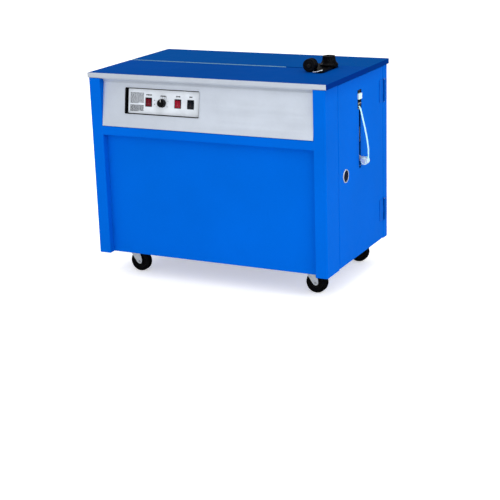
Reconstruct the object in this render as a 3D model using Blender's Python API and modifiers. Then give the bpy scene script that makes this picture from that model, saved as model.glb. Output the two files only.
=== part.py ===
# Semi automatic strapping machine: closed cabinet on casters, work table with a
# strap slot, strap head below it, side door with the strap dancer.
# Metres, +Z up, front of the machine towards -Y.
import math
import bpy
import bmesh
from mathutils import Matrix, Vector

# ---------------------------------------------------------------- dimensions
TABLE_L = 0.895          # table length, X
TABLE_W = 0.565          # table width, Y
TABLE_H = 0.735          # working height
LIP = 0.018              # depth of the table's turned-down lip
SHEET = 0.002            # sheet metal
GAP = 0.0003             # running and fitting gap between pieces

CAB_X = 0.444            # half width of the cabinet
CAB_FRONT = -0.281       # outer face of the front frame
CAB_REAR = 0.2725        # outer face of the rear panel
CAB_BOTTOM = 0.0872
CAB_TOP = 0.7155
POST_W = 0.044           # front post width
SEAM_Y = -0.1755         # seam between the front frame and the side panels
REAR_SEAM_Y = 0.2325     # seam between the side panels and the rear panel

FASCIA_BOTTOM = 0.5508   # lower edge of the sloped fascia
FASCIA_TILT = math.radians(9.14)
RAIL_Z0, RAIL_Z1 = 0.518, 0.5505

SLOT_Y0, SLOT_Y1 = 0.0037, 0.0163   # strap slot across the table
TRACK_END = 0.1718
SLOT_END = 0.2478
TONGUE_Y = 0.0845

WHEEL_R = 0.0375
WHEEL_W = 0.024
TRAIL = 0.024
CASTERS = {"front_left": (-0.360, -0.175), "front_right": (0.336, -0.175),
           "rear_left": (-0.360, 0.205), "rear_right": (0.336, 0.205)}

HINGE_X, HINGE_Y = 0.449, 0.2315
HINGE_Z = {"upper": 0.630, "lower": 0.198}
HINGE_H = 0.078
LOCK_Y, LOCK_Z = -0.118, 0.4005

DANCER_X, DANCER_Z = 0.3045, 0.5130
DANCER_LEN = 0.1805
DANCER_DROP = math.radians(28.8)
DANCER_Y = 0.013
ROLLER_R = 0.01283
ROLLER_CORE = 0.0092

REEL_X, REEL_Z = -0.190, 0.315
REEL_R, REEL_HALF = 0.190, 0.100
HUB_R, COIL_R = 0.098, 0.160

CAM_Y, CAM_Z = 0.010, 0.633
MOTOR_Y, MOTOR_Z = 0.110, 0.640
CAM_PULLEY_R, MOTOR_PULLEY_R = 0.031, 0.0155

FEED_X, PINCH_X, NIP_Z = 0.30225, 0.26975, 0.680
FEED_R, PINCH_R = 0.020, 0.012
KNOB_X, KNOB_Y = 0.323, 0.037
GUIDE_ROLLER_X, GUIDE_ROLLER_Y = 0.298, -0.062
GUIDE_ROLLER_Z, GUIDE_ROLLER_R = 0.7582, 0.0222

LID_AXIS_Y, LID_AXIS_Z = 0.277, 0.712

SWITCH_UP = 0.0906       # height of the switch centres up the slope
SWITCHES = {"power_switch": -0.2240, "motor_switch": -0.1100, "feed_switch": -0.0605}
LENGTH_KNOB_X, LENGTH_KNOB_UP = -0.1707, 0.0896
PANEL_X0, PANEL_X1, PANEL_UP0, PANEL_UP1 = -0.3112, -0.0198, 0.0466, 0.1382

X_MAX = 0.4755           # dancer roller's outermost point
X_SHIFT = -(X_MAX - TABLE_L / 2) / 2

# ---------------------------------------------------------------- scene
for ob in list(bpy.data.objects):
    bpy.data.objects.remove(ob, do_unlink=True)

PARTS = bpy.data.collections.new("semi_automatic_strapping_machine")
TOOLS = bpy.data.collections.new("cutters")
bpy.context.scene.collection.children.link(PARTS)
bpy.context.scene.collection.children.link(TOOLS)


def material(name, rgb, rough, metal):
    mat = bpy.data.materials.new(name)
    mat.use_nodes = True
    bsdf = mat.node_tree.nodes["Principled BSDF"]
    bsdf.inputs["Base Color"].default_value = (rgb[0], rgb[1], rgb[2], 1.0)
    bsdf.inputs["Roughness"].default_value = rough
    bsdf.inputs["Metallic"].default_value = metal
    mat.diffuse_color = (rgb[0], rgb[1], rgb[2], 1.0)
    return mat


BLUE = (0.005, 0.122, 0.73)
NAVY = (0.003, 0.065, 0.34)
SILVER = (0.63, 0.66, 0.73)
ZINC = (0.62, 0.64, 0.66)
STEEL = (0.55, 0.56, 0.58)
BLACK = (0.012, 0.012, 0.014)
WHITE = (0.80, 0.83, 0.86)
IRON = (0.16, 0.17, 0.18)


def empty(name, location, rotation=(0, 0, 0), parent=None):
    ob = bpy.data.objects.new(name, None)
    ob.empty_display_size = 0.02
    ob.location = location
    ob.rotation_euler = rotation
    ob.parent = parent
    PARTS.objects.link(ob)
    return ob


MACHINE = empty("machine_origin", (X_SHIFT, 0, 0))
SLOPE = empty("fascia_plane", (0, CAB_FRONT, FASCIA_BOTTOM), (-FASCIA_TILT, 0, 0), MACHINE)


def link(ob, parent, tool, mat=None):
    ob.parent = parent if parent is not None else MACHINE
    (TOOLS if tool else PARTS).objects.link(ob)
    if tool:
        ob.hide_render = True
        ob.display_type = 'WIRE'
    if mat is not None:
        ob.data.materials.append(mat)
    return ob


def from_bmesh(name, bm, origin, parent, tool, mat, rotation=(0, 0, 0)):
    me = bpy.data.meshes.new(name)
    bm.to_mesh(me)
    bm.free()
    ob = bpy.data.objects.new(name, me)
    ob.location = origin
    ob.rotation_euler = rotation
    return link(ob, parent, tool, mat)


def box(name, lo, hi, mat=None, origin=None, parent=None, tool=False, bevel=0.0, segments=1,
        along=None):
    """Box between two corners; along='x'|'y'|'z' rounds only the edges along that axis."""
    lo, hi = Vector(lo), Vector(hi)
    origin = Vector(origin) if origin is not None else (lo + hi) / 2
    bm = bmesh.new()
    bmesh.ops.create_cube(bm, size=1.0)
    bmesh.ops.scale(bm, vec=hi - lo, verts=bm.verts)
    bmesh.ops.translate(bm, vec=(lo + hi) / 2 - origin, verts=bm.verts)
    if along is not None and bevel > 0:
        k = "xyz".index(along)
        edges = [e for e in bm.edges
                 if abs((e.verts[0].co - e.verts[1].co)[k]) > 0.5 * (hi - lo)[k]]
        bmesh.ops.bevel(bm, geom=edges, offset=bevel, segments=segments, affect='EDGES',
                        profile=0.5)
    ob = from_bmesh(name, bm, origin, parent, tool, mat)
    if bevel > 0 and along is None:
        mod = ob.modifiers.new("rounded_edges", 'BEVEL')
        mod.width = bevel
        mod.segments = segments
        mod.limit_method = 'ANGLE'
    return ob


AXIS_ROT = {"x": (0, math.pi / 2, 0), "y": (-math.pi / 2, 0, 0), "z": (0, 0, 0)}


def rod(name, axis, centre, start, end, radius, mat=None, parent=None, tool=False, sides=24):
    """Cylinder along a world axis from start to end; centre gives the other two coordinates."""
    k = "xyz".index(axis)
    mid = list(centre)
    mid.insert(k, (start + end) / 2)
    bm = bmesh.new()
    bmesh.ops.create_cone(bm, cap_ends=True, cap_tris=False, segments=sides,
                          radius1=radius, radius2=radius, depth=abs(end - start))
    return from_bmesh(name, bm, mid, parent, tool, mat, AXIS_ROT[axis])


def turned(name, profile, origin, rotation=(0, 0, 0), mat=None, parent=None, tool=False,
           steps=32, ring=False):
    """Turned shape about local Z. profile is (radius, height), outer side from top to bottom;
    ring closes the profile into a loop for a piece with a bore."""
    bm = bmesh.new()
    vs = [bm.verts.new((r, 0.0, z)) for r, z in profile]
    for a, b in zip(vs, vs[1:]):
        bm.edges.new((a, b))
    if ring:
        bm.edges.new((vs[-1], vs[0]))
    ob = from_bmesh(name, bm, origin, parent, tool, mat, rotation)
    mod = ob.modifiers.new("turned", 'SCREW')
    mod.axis = 'Z'
    mod.angle = 2 * math.pi
    mod.screw_offset = 0.0
    mod.iterations = 1
    mod.steps = steps
    mod.render_steps = steps
    mod.use_merge_vertices = True
    mod.merge_threshold = 0.00001
    mod.use_smooth_shade = True
    return ob


def bent_sheet(name, path, plane, start, end, thickness=SHEET, mat=None, parent=None, tool=False):
    """Bent sheet: centre-line path in a plane, drawn along the third axis, then thickened.
    plane 'xy' is drawn along Z, 'yz' along X."""
    bm = bmesh.new()
    if plane == "xy":
        vs = [bm.verts.new((a, b, start)) for a, b in path]
        step = Vector((0, 0, end - start))
    else:
        vs = [bm.verts.new((start, a, b)) for a, b in path]
        step = Vector((end - start, 0, 0))
    edges = [bm.edges.new((a, b)) for a, b in zip(vs, vs[1:])]
    out = bmesh.ops.extrude_edge_only(bm, edges=edges)
    bmesh.ops.translate(bm, vec=step, verts=[g for g in out["geom"]
                                            if isinstance(g, bmesh.types.BMVert)])
    bmesh.ops.recalc_face_normals(bm, faces=bm.faces)
    ob = from_bmesh(name, bm, (0, 0, 0), parent, tool, mat)
    mod = ob.modifiers.new("sheet", 'SOLIDIFY')
    mod.thickness = thickness
    mod.offset = 0.0
    mod.use_even_offset = True
    mod.use_rim = True
    return ob


def outline(name, points, half, origin, rotation, mat=None, parent=None, tool=False, inner=None,
            mesh=False):
    """Flat outline in local XY, extruded by half its thickness each way along local Z."""
    cu = bpy.data.curves.new(name, 'CURVE')
    cu.dimensions = '2D'
    cu.fill_mode = 'BOTH'
    cu.extrude = half
    loops = [points] + ([inner] if inner else [])
    for loop in loops:
        sp = cu.splines.new('POLY')
        sp.points.add(len(loop) - 1)
        for p, (x, y) in zip(sp.points, loop):
            p.co = (x, y, 0.0, 1.0)
        sp.use_cyclic_u = True
    ob = bpy.data.objects.new(name, cu)
    ob.location = origin
    ob.rotation_euler = rotation
    link(ob, parent, tool, mat)
    if mesh:
        return as_mesh(ob, parent, tool, mat)
    return ob


def as_mesh(ob, parent, tool, mat):
    """The curve's own solid as a mesh object, its caps welded on."""
    bpy.context.view_layer.update()
    name = ob.name
    graph = bpy.context.evaluated_depsgraph_get()
    me = bpy.data.meshes.new_from_object(ob.evaluated_get(graph))
    bm = bmesh.new()
    bm.from_mesh(me)
    bmesh.ops.remove_doubles(bm, verts=bm.verts, dist=0.00001)
    bmesh.ops.recalc_face_normals(bm, faces=bm.faces)
    bm.to_mesh(me)
    bm.free()
    world = ob.matrix_world.copy()
    cu = ob.data
    bpy.data.objects.remove(ob, do_unlink=True)
    bpy.data.curves.remove(cu)
    new = bpy.data.objects.new(name, me)
    me.materials.clear()
    link(new, parent, tool, mat)
    bpy.context.view_layer.update()
    new.matrix_world = world
    bpy.context.view_layer.update()
    return new


COUNT = [0]


def _boolean(ob, other, operation):
    COUNT[0] += 1
    other.name = f"{ob.name}_{operation.lower()}_{COUNT[0]:03d}"
    mod = ob.modifiers.new(f"{operation.lower()}_{COUNT[0]:03d}", 'BOOLEAN')
    mod.operation = operation
    mod.object = other
    mod.solver = 'EXACT'
    return ob


def cut(ob, *cutters):
    for c in cutters:
        _boolean(ob, c, 'DIFFERENCE')
    return ob


def add(ob, *others):
    for o in others:
        _boolean(ob, o, 'UNION')
    return ob


def tbox(lo, hi, **kw):
    return box("tool", lo, hi, tool=True, **kw)


def trod(axis, centre, start, end, radius, **kw):
    return rod("tool", axis, centre, start, end, radius, tool=True, **kw)


# ================================================================ cabinet
blue = material("cabinet_blue_paint", BLUE, 0.38, 0.0)
base_pan = box("base_pan", (-0.4235, -0.2517, 0.1035), (0.4235, 0.2700, 0.1285),
               material("base_blue_paint", BLUE, 0.42, 0.0))
cut(base_pan, tbox((-0.4215, -0.2497, 0.1060), (0.4215, 0.2680, 0.1400)))

front_frame = bent_sheet("front_frame",
                         [(0.401, -0.2545), (0.401, -0.280), (0.443, -0.280), (0.443, -0.1775),
                          (0.4262, -0.1775)], "xy", CAB_BOTTOM, 0.7165,
                         mat=material("front_frame_blue", BLUE, 0.36, 0.0))
left_post = bent_sheet("tool", [(-0.4262, -0.1775), (-0.443, -0.1775), (-0.443, -0.280),
                                (-0.401, -0.280), (-0.401, -0.2545)], "xy", CAB_BOTTOM, 0.7165,
                       tool=True)
mid_rail = bent_sheet("tool", [(-0.2545, 0.519), (-0.280, 0.519), (-0.280, 0.5495),
                               (-0.2545, 0.5495)], "yz", -0.4012, 0.4012, tool=True)
add(front_frame, left_post, mid_rail)

front_lower_panel = box("front_lower_panel", (-0.4400, -0.2542, CAB_BOTTOM),
                        (0.4400, -0.2522, 0.5400), material("front_panel_blue", BLUE, 0.36, 0.0))

# fascia: sloped sheet, a cove forward under the table, then up again as the front lip
LIP_Z = 0.7178
COVE_R = 0.0175
tan_t = math.tan(FASCIA_TILT)
f0 = (CAB_FRONT + 0.00105, FASCIA_BOTTOM + 0.0004)
cove_z = LIP_Z - COVE_R * (1 + math.sin(FASCIA_TILT))
cove_y = f0[0] + (cove_z - f0[1]) * tan_t
cove_centre = (cove_y - COVE_R * math.cos(FASCIA_TILT), LIP_Z - COVE_R)
cove = [(cove_centre[0] + COVE_R * math.cos(a), cove_centre[1] + COVE_R * math.sin(a))
        for a in (-FASCIA_TILT + (math.pi / 2 + FASCIA_TILT) * k / 8 for k in range(9))]
fascia_panel = bent_sheet("fascia_panel", [f0] + cove + [(-0.2815, LIP_Z), (-0.2815, TABLE_H)],
                          "yz", -0.3995, 0.3995,
                          mat=material("fascia_silver", SILVER, 0.32, 0.6))
add(fascia_panel, tbox((-TABLE_L / 2, -TABLE_W / 2, 0.7170),
                       (TABLE_L / 2, -TABLE_W / 2 + SHEET, TABLE_H)))
cut(fascia_panel, tbox((PANEL_X0 - GAP, -0.010, PANEL_UP0 - GAP),
                       (PANEL_X1 + GAP, 0.010, PANEL_UP1 + GAP), parent=SLOPE, bevel=0.0058,
                       segments=3, along='y'))

left_side_panel = box("left_side_panel", (-CAB_X, -0.1745, 0.0890), (-0.4260, 0.2305, CAB_TOP),
                      material("left_panel_blue", BLUE, 0.36, 0.0))
cut(left_side_panel, tbox((-0.4420, -0.1725, 0.0910), (-0.4100, 0.2285, 0.7135)))

rear_panel = bent_sheet("rear_panel",
                        [(-0.4262, 0.2345), (-0.443, 0.2345), (-0.443, 0.2715), (0.443, 0.2715),
                         (0.443, 0.2345), (0.4262, 0.2345)], "xy", CAB_BOTTOM, 0.7325,
                        mat=material("rear_panel_blue", BLUE, 0.36, 0.0))
for hx in (-0.300, 0.300):
    for x0, x1 in ((hx - 0.044, hx - 0.0205), (hx + 0.0205, hx + 0.044)):
        add(rear_panel,
            trod("x", (LID_AXIS_Y, LID_AXIS_Z), x0, x1, 0.0040, sides=16),
            tbox((x0, 0.2708, 0.7088), (x1, LID_AXIS_Y, 0.7115)))
cut(rear_panel, trod("y", (-0.320, 0.160), 0.260, 0.285, 0.0086, sides=20))

# ================================================================ table
navy = (0.004, 0.085, 0.36)
table_front_plate = box("table_front_plate", (-TABLE_L / 2, -0.2802, 0.7170),
                        (TABLE_L / 2, SLOT_Y0, TABLE_H), material("table_blue_front", navy, 0.3, 0.0))
add(table_front_plate, tbox((SLOT_END + GAP, -0.0500, 0.7170), (TABLE_L / 2, TONGUE_Y, TABLE_H)))
cut(table_front_plate,
    tbox((-0.4455, -0.2782, 0.7000), (0.4455, SLOT_Y0 - SHEET, 0.7330)),
    tbox((SLOT_END + GAP + SHEET, -0.0100, 0.7000), (0.4455, TONGUE_Y - SHEET, 0.7330)),
    tbox((-0.4455, -0.2900, 0.7000), (0.4455, -0.2770, 0.7192)),
    tbox((0.2650, -0.0005, 0.7200), (0.3250, 0.0345, 0.7450)))

table_rear_plate = box("table_rear_plate", (-TABLE_L / 2, SLOT_Y1, 0.7170),
                       (TABLE_L / 2, TABLE_W / 2, TABLE_H), material("table_blue_rear", navy, 0.3, 0.0),
                       origin=(0, LID_AXIS_Y, LID_AXIS_Z))
cut(table_rear_plate,
    tbox((SLOT_END, 0.0000, 0.7000), (0.4600, TONGUE_Y + GAP, 0.7600)),
    tbox((-0.4455, SLOT_Y1 + SHEET, 0.7000), (SLOT_END - SHEET, 0.2805, 0.7330)),
    tbox((0.2400, TONGUE_Y + GAP + SHEET, 0.7000), (0.4455, 0.2805, 0.7330)))
for hx in (-0.300, 0.300):
    add(table_rear_plate,
        tbox((hx - 0.020, 0.2750, 0.7120), (hx + 0.020, 0.2790, 0.7335)),
        trod("x", (LID_AXIS_Y, LID_AXIS_Z), hx - 0.020, hx + 0.020, 0.0040, sides=16))

strap_track = box("strap_track", (-TABLE_L / 2, SLOT_Y0 + GAP, 0.7172),
                  (TRACK_END, SLOT_Y1 - GAP, TABLE_H), material("track_steel", STEEL, 0.22, 1.0))
cut(strap_track, tbox((-0.4455, SLOT_Y0 + 0.0019, 0.7000), (TRACK_END - SHEET, SLOT_Y1 - 0.0019, 0.7335)))

# ================================================================ control panel
control_tray = box("control_tray", (PANEL_X0, -0.0008, PANEL_UP0), (PANEL_X1, 0.0165, PANEL_UP1),
                   material("tray_black", BLACK, 0.5, 0.0), parent=SLOPE, bevel=0.0055, segments=3,
                   along='y')
add(control_tray, tbox((PANEL_X0 - 0.0026, -0.0013, PANEL_UP0 - 0.0026),
                       (PANEL_X1 + 0.0026, -0.0003, PANEL_UP1 + 0.0026), parent=SLOPE,
                       bevel=0.0080, segments=3, along='y'))
cut(control_tray, tbox((PANEL_X0 + 0.0020, -0.0200, PANEL_UP0 + 0.0020),
                       (PANEL_X1 - 0.0020, 0.0148, PANEL_UP1 - 0.0020), parent=SLOPE,
                       bevel=0.0040, segments=3, along='y'))
control_plate = box("control_plate", (PANEL_X0 + 0.0024, 0.0135, PANEL_UP0 + 0.0024),
                    (PANEL_X1 - 0.0024, 0.0145, PANEL_UP1 - 0.0024),
                    material("plate_white", WHITE, 0.4, 0.0), parent=SLOPE, bevel=0.0035,
                    segments=2, along='y')
for ob in (control_tray, control_plate):
    for xc in SWITCHES.values():
        cut(ob, tbox((xc - 0.0111, 0.0100, SWITCH_UP - 0.0142),
                     (xc + 0.0111, 0.0200, SWITCH_UP + 0.0142), parent=SLOPE))
    cut(ob, rod("tool", "y", (LENGTH_KNOB_X, LENGTH_KNOB_UP), 0.0100, 0.0200, 0.0038,
                parent=SLOPE, tool=True, sides=16))

ROCKER_COLOURS = {"power_switch": (0.20, 0.01, 0.02), "motor_switch": (0.52, 0.01, 0.03),
                  "feed_switch": BLACK}
for sw, xc in SWITCHES.items():
    housing = box(sw + "_housing", (xc - 0.01275, 0.0112, SWITCH_UP - 0.0155),
                  (xc + 0.01275, 0.0132, SWITCH_UP + 0.0155),
                  material(sw + "_housing_black", BLACK, 0.45, 0.0), parent=SLOPE,
                  bevel=0.0010, segments=1, along='y')
    add(housing, tbox((xc - 0.0108, 0.0125, SWITCH_UP - 0.0139),
                      (xc + 0.0108, 0.0330, SWITCH_UP + 0.0139), parent=SLOPE))
    cut(housing, tbox((xc - 0.0098, 0.0000, SWITCH_UP - 0.0129),
                      (xc + 0.0098, 0.0270, SWITCH_UP + 0.0129), parent=SLOPE))
    pivot = empty(sw + "_pivot", (xc, 0.0150, SWITCH_UP), (math.radians(10), 0, 0), SLOPE)
    outline(sw + "_rocker",
            [(-0.0058, 0.0117), (-0.0040, 0.0), (-0.0058, -0.0117), (0.0030, -0.0112),
             (0.0085, -0.0030), (0.0085, 0.0030), (0.0030, 0.0112)],
            0.0095, (0, 0, 0), (math.pi / 2, 0, math.pi / 2),
            material(sw + "_rocker_plastic", ROCKER_COLOURS[sw], 0.25, 0.0), parent=pivot)

feed_length_knob = turned("feed_length_knob",
                          [(0.0, 0.0140), (0.0128, 0.0140), (0.0138, 0.0130), (0.0148, 0.0),
                           (0.0032, 0.0), (0.0032, -0.0160), (0.0, -0.0160)],
                          (LENGTH_KNOB_X, 0.0128, LENGTH_KNOB_UP), (math.pi / 2, 0, 0),
                          material("length_knob_black", BLACK, 0.4, 0.0), parent=SLOPE, steps=24)
add(feed_length_knob, tbox((LENGTH_KNOB_X - 0.0010, -0.0022, LENGTH_KNOB_UP + 0.0040),
                           (LENGTH_KNOB_X + 0.0010, 0.0000, LENGTH_KNOB_UP + 0.0120),
                           parent=SLOPE))

control_box = box("control_box", (-0.300, -0.205, 0.6200), (-0.080, -0.125, 0.7325),
                  material("control_box_grey", (0.5, 0.51, 0.5), 0.5, 0.0), bevel=0.002)

# ================================================================ side door and strap dancer
side_door = box("side_door", (0.4260, -0.1745, 0.0890), (CAB_X, 0.2305, CAB_TOP),
                material("door_blue", BLUE, 0.36, 0.0), origin=(HINGE_X, HINGE_Y, 0.4))
cut(side_door,
    tbox((0.4100, -0.1725, 0.0910), (0.4420, 0.2285, 0.7135)),
    tbox((0.4300, -0.0060, 0.6040), (0.4500, 0.0300, 0.6700)),
    tbox((0.4350, 0.0055, 0.3990), (0.4480, 0.0205, 0.6060)),
    trod("x", (LOCK_Y, LOCK_Z), 0.4300, 0.4500, 0.0184, sides=32))

lock_housing = turned("lock_housing",
                      [(0.0150, 0.0033), (0.0215, 0.0030), (0.0230, 0.0018), (0.0230, 0.0003),
                       (0.0180, 0.0003), (0.0180, -0.0170), (0.0070, -0.0170), (0.0070, -0.0045),
                       (0.0144, -0.0045), (0.0144, 0.0028)],
                      (CAB_X, LOCK_Y, LOCK_Z), (0, math.pi / 2, 0),
                      material("lock_chrome", (0.75, 0.77, 0.8), 0.15, 1.0), steps=32, ring=True)
lock_cylinder = turned("lock_cylinder",
                       [(0.0, 0.0026), (0.0132, 0.0026), (0.0140, 0.0018), (0.0140, -0.0040),
                        (0.0065, -0.0040), (0.0065, -0.0215), (0.0, -0.0215)],
                       (CAB_X, LOCK_Y, LOCK_Z), (0, math.pi / 2, 0),
                       material("lock_black", BLACK, 0.4, 0.0), steps=24)
add(lock_cylinder, tbox((0.4215, LOCK_Y - 0.0060, LOCK_Z - 0.0100),
                        (0.4245, LOCK_Y + 0.0060, LOCK_Z + 0.0660)))

for pos, zc in HINGE_Z.items():
    z0, z1, m = zc - HINGE_H / 2, zc + HINGE_H / 2, 0.0135
    fixed = box(pos + "_hinge_fixed_leaf", (0.4443, 0.2368, z0), (0.4463, 0.2680, z1),
                material(pos + "_hinge_fixed_blue", BLUE, 0.35, 0.0),
                origin=(HINGE_X, HINGE_Y, zc))
    for a, b in ((z0, zc - m), (zc + m, z1)):
        add(fixed, tbox((0.4443, 0.2320, a), (0.4463, 0.2375, b)),
            trod("z", (HINGE_X, HINGE_Y), a, b, 0.0045, sides=16))
    add(fixed, trod("z", (HINGE_X, HINGE_Y), z0 + 0.004, z1 - 0.004, 0.0018, sides=12))
    leaf = box(pos + "_hinge_door_leaf", (0.4443, 0.1950, z0), (0.4463, 0.2262, z1),
               material(pos + "_hinge_door_blue", BLUE, 0.35, 0.0),
               origin=(HINGE_X, HINGE_Y, zc))
    add(leaf, tbox((0.4443, 0.2250, zc - m + GAP), (0.4463, 0.2310, zc + m - GAP)),
        trod("z", (HINGE_X, HINGE_Y), zc - m + GAP, zc + m - GAP, 0.0045, sides=16))
    cut(leaf, trod("z", (HINGE_X, HINGE_Y), zc - 0.03, zc + 0.03, 0.0024, sides=12))

strap_inlet_guide = box("strap_inlet_guide", (0.4385, -0.0160, 0.5985), (0.4417, 0.0400, 0.6790),
                        material("inlet_white", WHITE, 0.35, 0.0))
add(strap_inlet_guide, tbox((0.4400, -0.0035, 0.6240), (0.4520, 0.0275, 0.6510), bevel=0.0015))
cut(strap_inlet_guide,
    tbox((0.4300, 0.0050, 0.6070), (0.4600, 0.0210, 0.6215)),
    tbox((0.4300, -0.0040, 0.6525), (0.4600, 0.0280, 0.6685)))

dancer_bracket = box("dancer_bracket", (0.4390, 0.0290, 0.4700), (0.4417, 0.0600, 0.5560),
                     material("bracket_zinc", ZINC, 0.35, 1.0))
add(dancer_bracket,
    tbox((0.2905, 0.0290, 0.4930), (0.4400, 0.0320, 0.5330)),
    trod("y", (DANCER_X, DANCER_Z), 0.0060, 0.0300, 0.0050, sides=20))

ARM = empty("dancer_pivot", (DANCER_X, 0, DANCER_Z), (0, DANCER_DROP, 0), MACHINE)


def arm_rod(y0, y1, u, radius, sides=20):
    return rod("tool", "y", (u, 0.0), y0, y1, radius, parent=ARM, tool=True, sides=sides)


dancer_arm = box("dancer_arm", (0.0060, 0.0105, -0.0050), (0.1655, 0.0155, 0.0050),
                 material("arm_zinc", ZINC, 0.35, 1.0), origin=(0, 0, 0), parent=ARM)
add(dancer_arm,
    arm_rod(0.0090, 0.0280, 0.0, 0.0110),
    box("tool", (0.1640, 0.0000, -0.0060), (0.1670, 0.0260, 0.0060), parent=ARM, tool=True),
    box("tool", (0.1645, 0.0000, -0.0060), (0.1870, 0.0025, 0.0060), parent=ARM, tool=True),
    box("tool", (0.1645, 0.0235, -0.0060), (0.1870, 0.0260, 0.0060), parent=ARM, tool=True),
    arm_rod(0.0012, 0.0248, DANCER_LEN, 0.0025, sides=16))
cut(dancer_arm, arm_rod(0.0000, 0.0400, 0.0, 0.0054))

QX = DANCER_X + DANCER_LEN * math.cos(DANCER_DROP)
QZ = DANCER_Z - DANCER_LEN * math.sin(DANCER_DROP)
dancer_roller = turned("dancer_roller",
                       [(ROLLER_R, 0.0100), (ROLLER_R, 0.0080), (ROLLER_CORE, 0.0070),
                        (ROLLER_CORE, -0.0070), (ROLLER_R, -0.0080), (ROLLER_R, -0.0100),
                        (0.0029, -0.0100), (0.0029, 0.0100)],
                       (QX, DANCER_Y, QZ), AXIS_ROT["y"], material("roller_white", WHITE, 0.35, 0.0),
                       steps=24, ring=True)


def smooth_points(points, per):
    """Points of a smooth curve through the given points."""
    out = []
    n = len(points)
    for i in range(n - 1):
        p0 = points[max(i - 1, 0)]
        p1, p2 = points[i], points[i + 1]
        p3 = points[min(i + 2, n - 1)]
        for k in range(per):
            t = k / per
            out.append(tuple(0.5 * (2 * p1[j] + (p2[j] - p0[j]) * t
                                    + (2 * p0[j] - 5 * p1[j] + 4 * p2[j] - p3[j]) * t * t
                                    + (3 * p1[j] - p0[j] - 3 * p2[j] + p3[j]) * t ** 3)
                             for j in range(2)))
    out.append(points[-1])
    return out


# strap: down from the inlet, out in a bow, round the dancer roller and back in through the slot
bow = smooth_points([(0.4330, 0.6240), (0.4400, 0.6150), (0.4480, 0.6020), (0.4545, 0.5750),
                     (0.4612, 0.5400), (0.4672, 0.5000), (0.4716, 0.4650), (0.4738, 0.4420)], 3)
wrap_r = ROLLER_CORE + 0.0009
wrap = [(QX + wrap_r * math.cos(math.radians(a)), QZ + wrap_r * math.sin(math.radians(a)))
        for a in (2, -10, -24, -38, -52, -66)]
tail = [(0.4560, QZ - 0.0134), (0.4440, QZ - 0.0178), (0.4320, QZ - 0.0215)]
strap_path = bow + wrap + tail
HALF_T = 0.00035


def ribbon(path, half):
    left, right = [], []
    for i, p in enumerate(path):
        a = path[max(i - 1, 0)]
        b = path[min(i + 1, len(path) - 1)]
        d = Vector((b[0] - a[0], b[1] - a[1])).normalized()
        left.append((p[0] - d.y * half, p[1] + d.x * half))
        right.append((p[0] + d.y * half, p[1] - d.x * half))
    return left + right[::-1]


strap_loop = outline("strap_loop", [(x - QX, z - QZ) for x, z in ribbon(strap_path, HALF_T)], 0.0060,
                     (QX, DANCER_Y, QZ), (math.pi / 2, 0, 0),
                     material("strap_white", WHITE, 0.3, 0.0))

# ================================================================ strap outlet on the table
outlet_base = box("outlet_base", (0.2575, -0.0085, 0.7353), (0.3515, 0.0690, 0.7430),
                  material("outlet_black", BLACK, 0.45, 0.0), bevel=0.006, segments=2, along='z')
add(outlet_base,
    tbox((0.2855, -0.0460, 0.7353), (0.3250, -0.0060, 0.7430)),
    tbox((0.3190, -0.0860, 0.7353), (0.3515, 0.0300, 0.7430), bevel=0.004, segments=2, along='z'),
    trod("z", (KNOB_X, KNOB_Y), 0.7400, 0.7440, 0.0300, sides=28),
    tbox((0.2875, -0.0445, 0.7400), (0.3085, -0.0390, 0.7690), bevel=0.006, segments=2, along='y'),
    trod("y", (GUIDE_ROLLER_X, GUIDE_ROLLER_Z), -0.0767, -0.0425, 0.0035, sides=16),
    tbox((0.2655, 0.0270, 0.6600), (0.3245, 0.0330, 0.7370)),
    trod("y", (PINCH_X, NIP_Z), 0.0010, 0.0285, 0.0030, sides=16),
    trod("y", (FEED_X, NIP_Z), 0.0010, 0.0285, 0.0040, sides=16))
cut(outlet_base,
    tbox((0.2790, 0.0025, 0.7300), (0.2850, 0.0175, 0.7600)),
    trod("z", (KNOB_X, KNOB_Y), 0.7385, 0.7600, 0.0045, sides=16))

outlet_roller = turned("outlet_roller",
                       [(0.0212, 0.0140), (GUIDE_ROLLER_R, 0.0130), (GUIDE_ROLLER_R, -0.0130),
                        (0.0212, -0.0140), (0.0039, -0.0140), (0.0039, 0.0140)],
                       (GUIDE_ROLLER_X, GUIDE_ROLLER_Y, GUIDE_ROLLER_Z), AXIS_ROT["y"],
                       material("guide_roller_black", BLACK, 0.4, 0.0), steps=28, ring=True)
tension_knob = turned("tension_knob",
                      [(0.0, 0.0317), (0.0205, 0.0317), (0.0218, 0.0300), (0.0228, 0.0190),
                       (0.0258, 0.0105), (0.0322, 0.0035), (0.0322, 0.0), (0.0040, 0.0),
                       (0.0040, -0.0050), (0.0, -0.0050)],
                      (KNOB_X, KNOB_Y, 0.7443), mat=material("tension_knob_black", BLACK, 0.4, 0.0),
                      steps=28)
feed_roller = turned("feed_roller",
                     [(FEED_R, 0.0080), (FEED_R, -0.0080), (0.0044, -0.0080), (0.0044, 0.0080)],
                     (FEED_X, 0.0100, NIP_Z), AXIS_ROT["y"],
                     material("feed_rubber", (0.10, 0.05, 0.03), 0.7, 0.0), steps=28, ring=True)
pinch_roller = turned("pinch_roller",
                      [(PINCH_R, 0.0080), (PINCH_R, -0.0080), (0.0034, -0.0080),
                       (0.0034, 0.0080)],
                      (PINCH_X, 0.0100, NIP_Z), AXIS_ROT["y"],
                      material("pinch_steel", STEEL, 0.25, 1.0), steps=24, ring=True)

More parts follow.
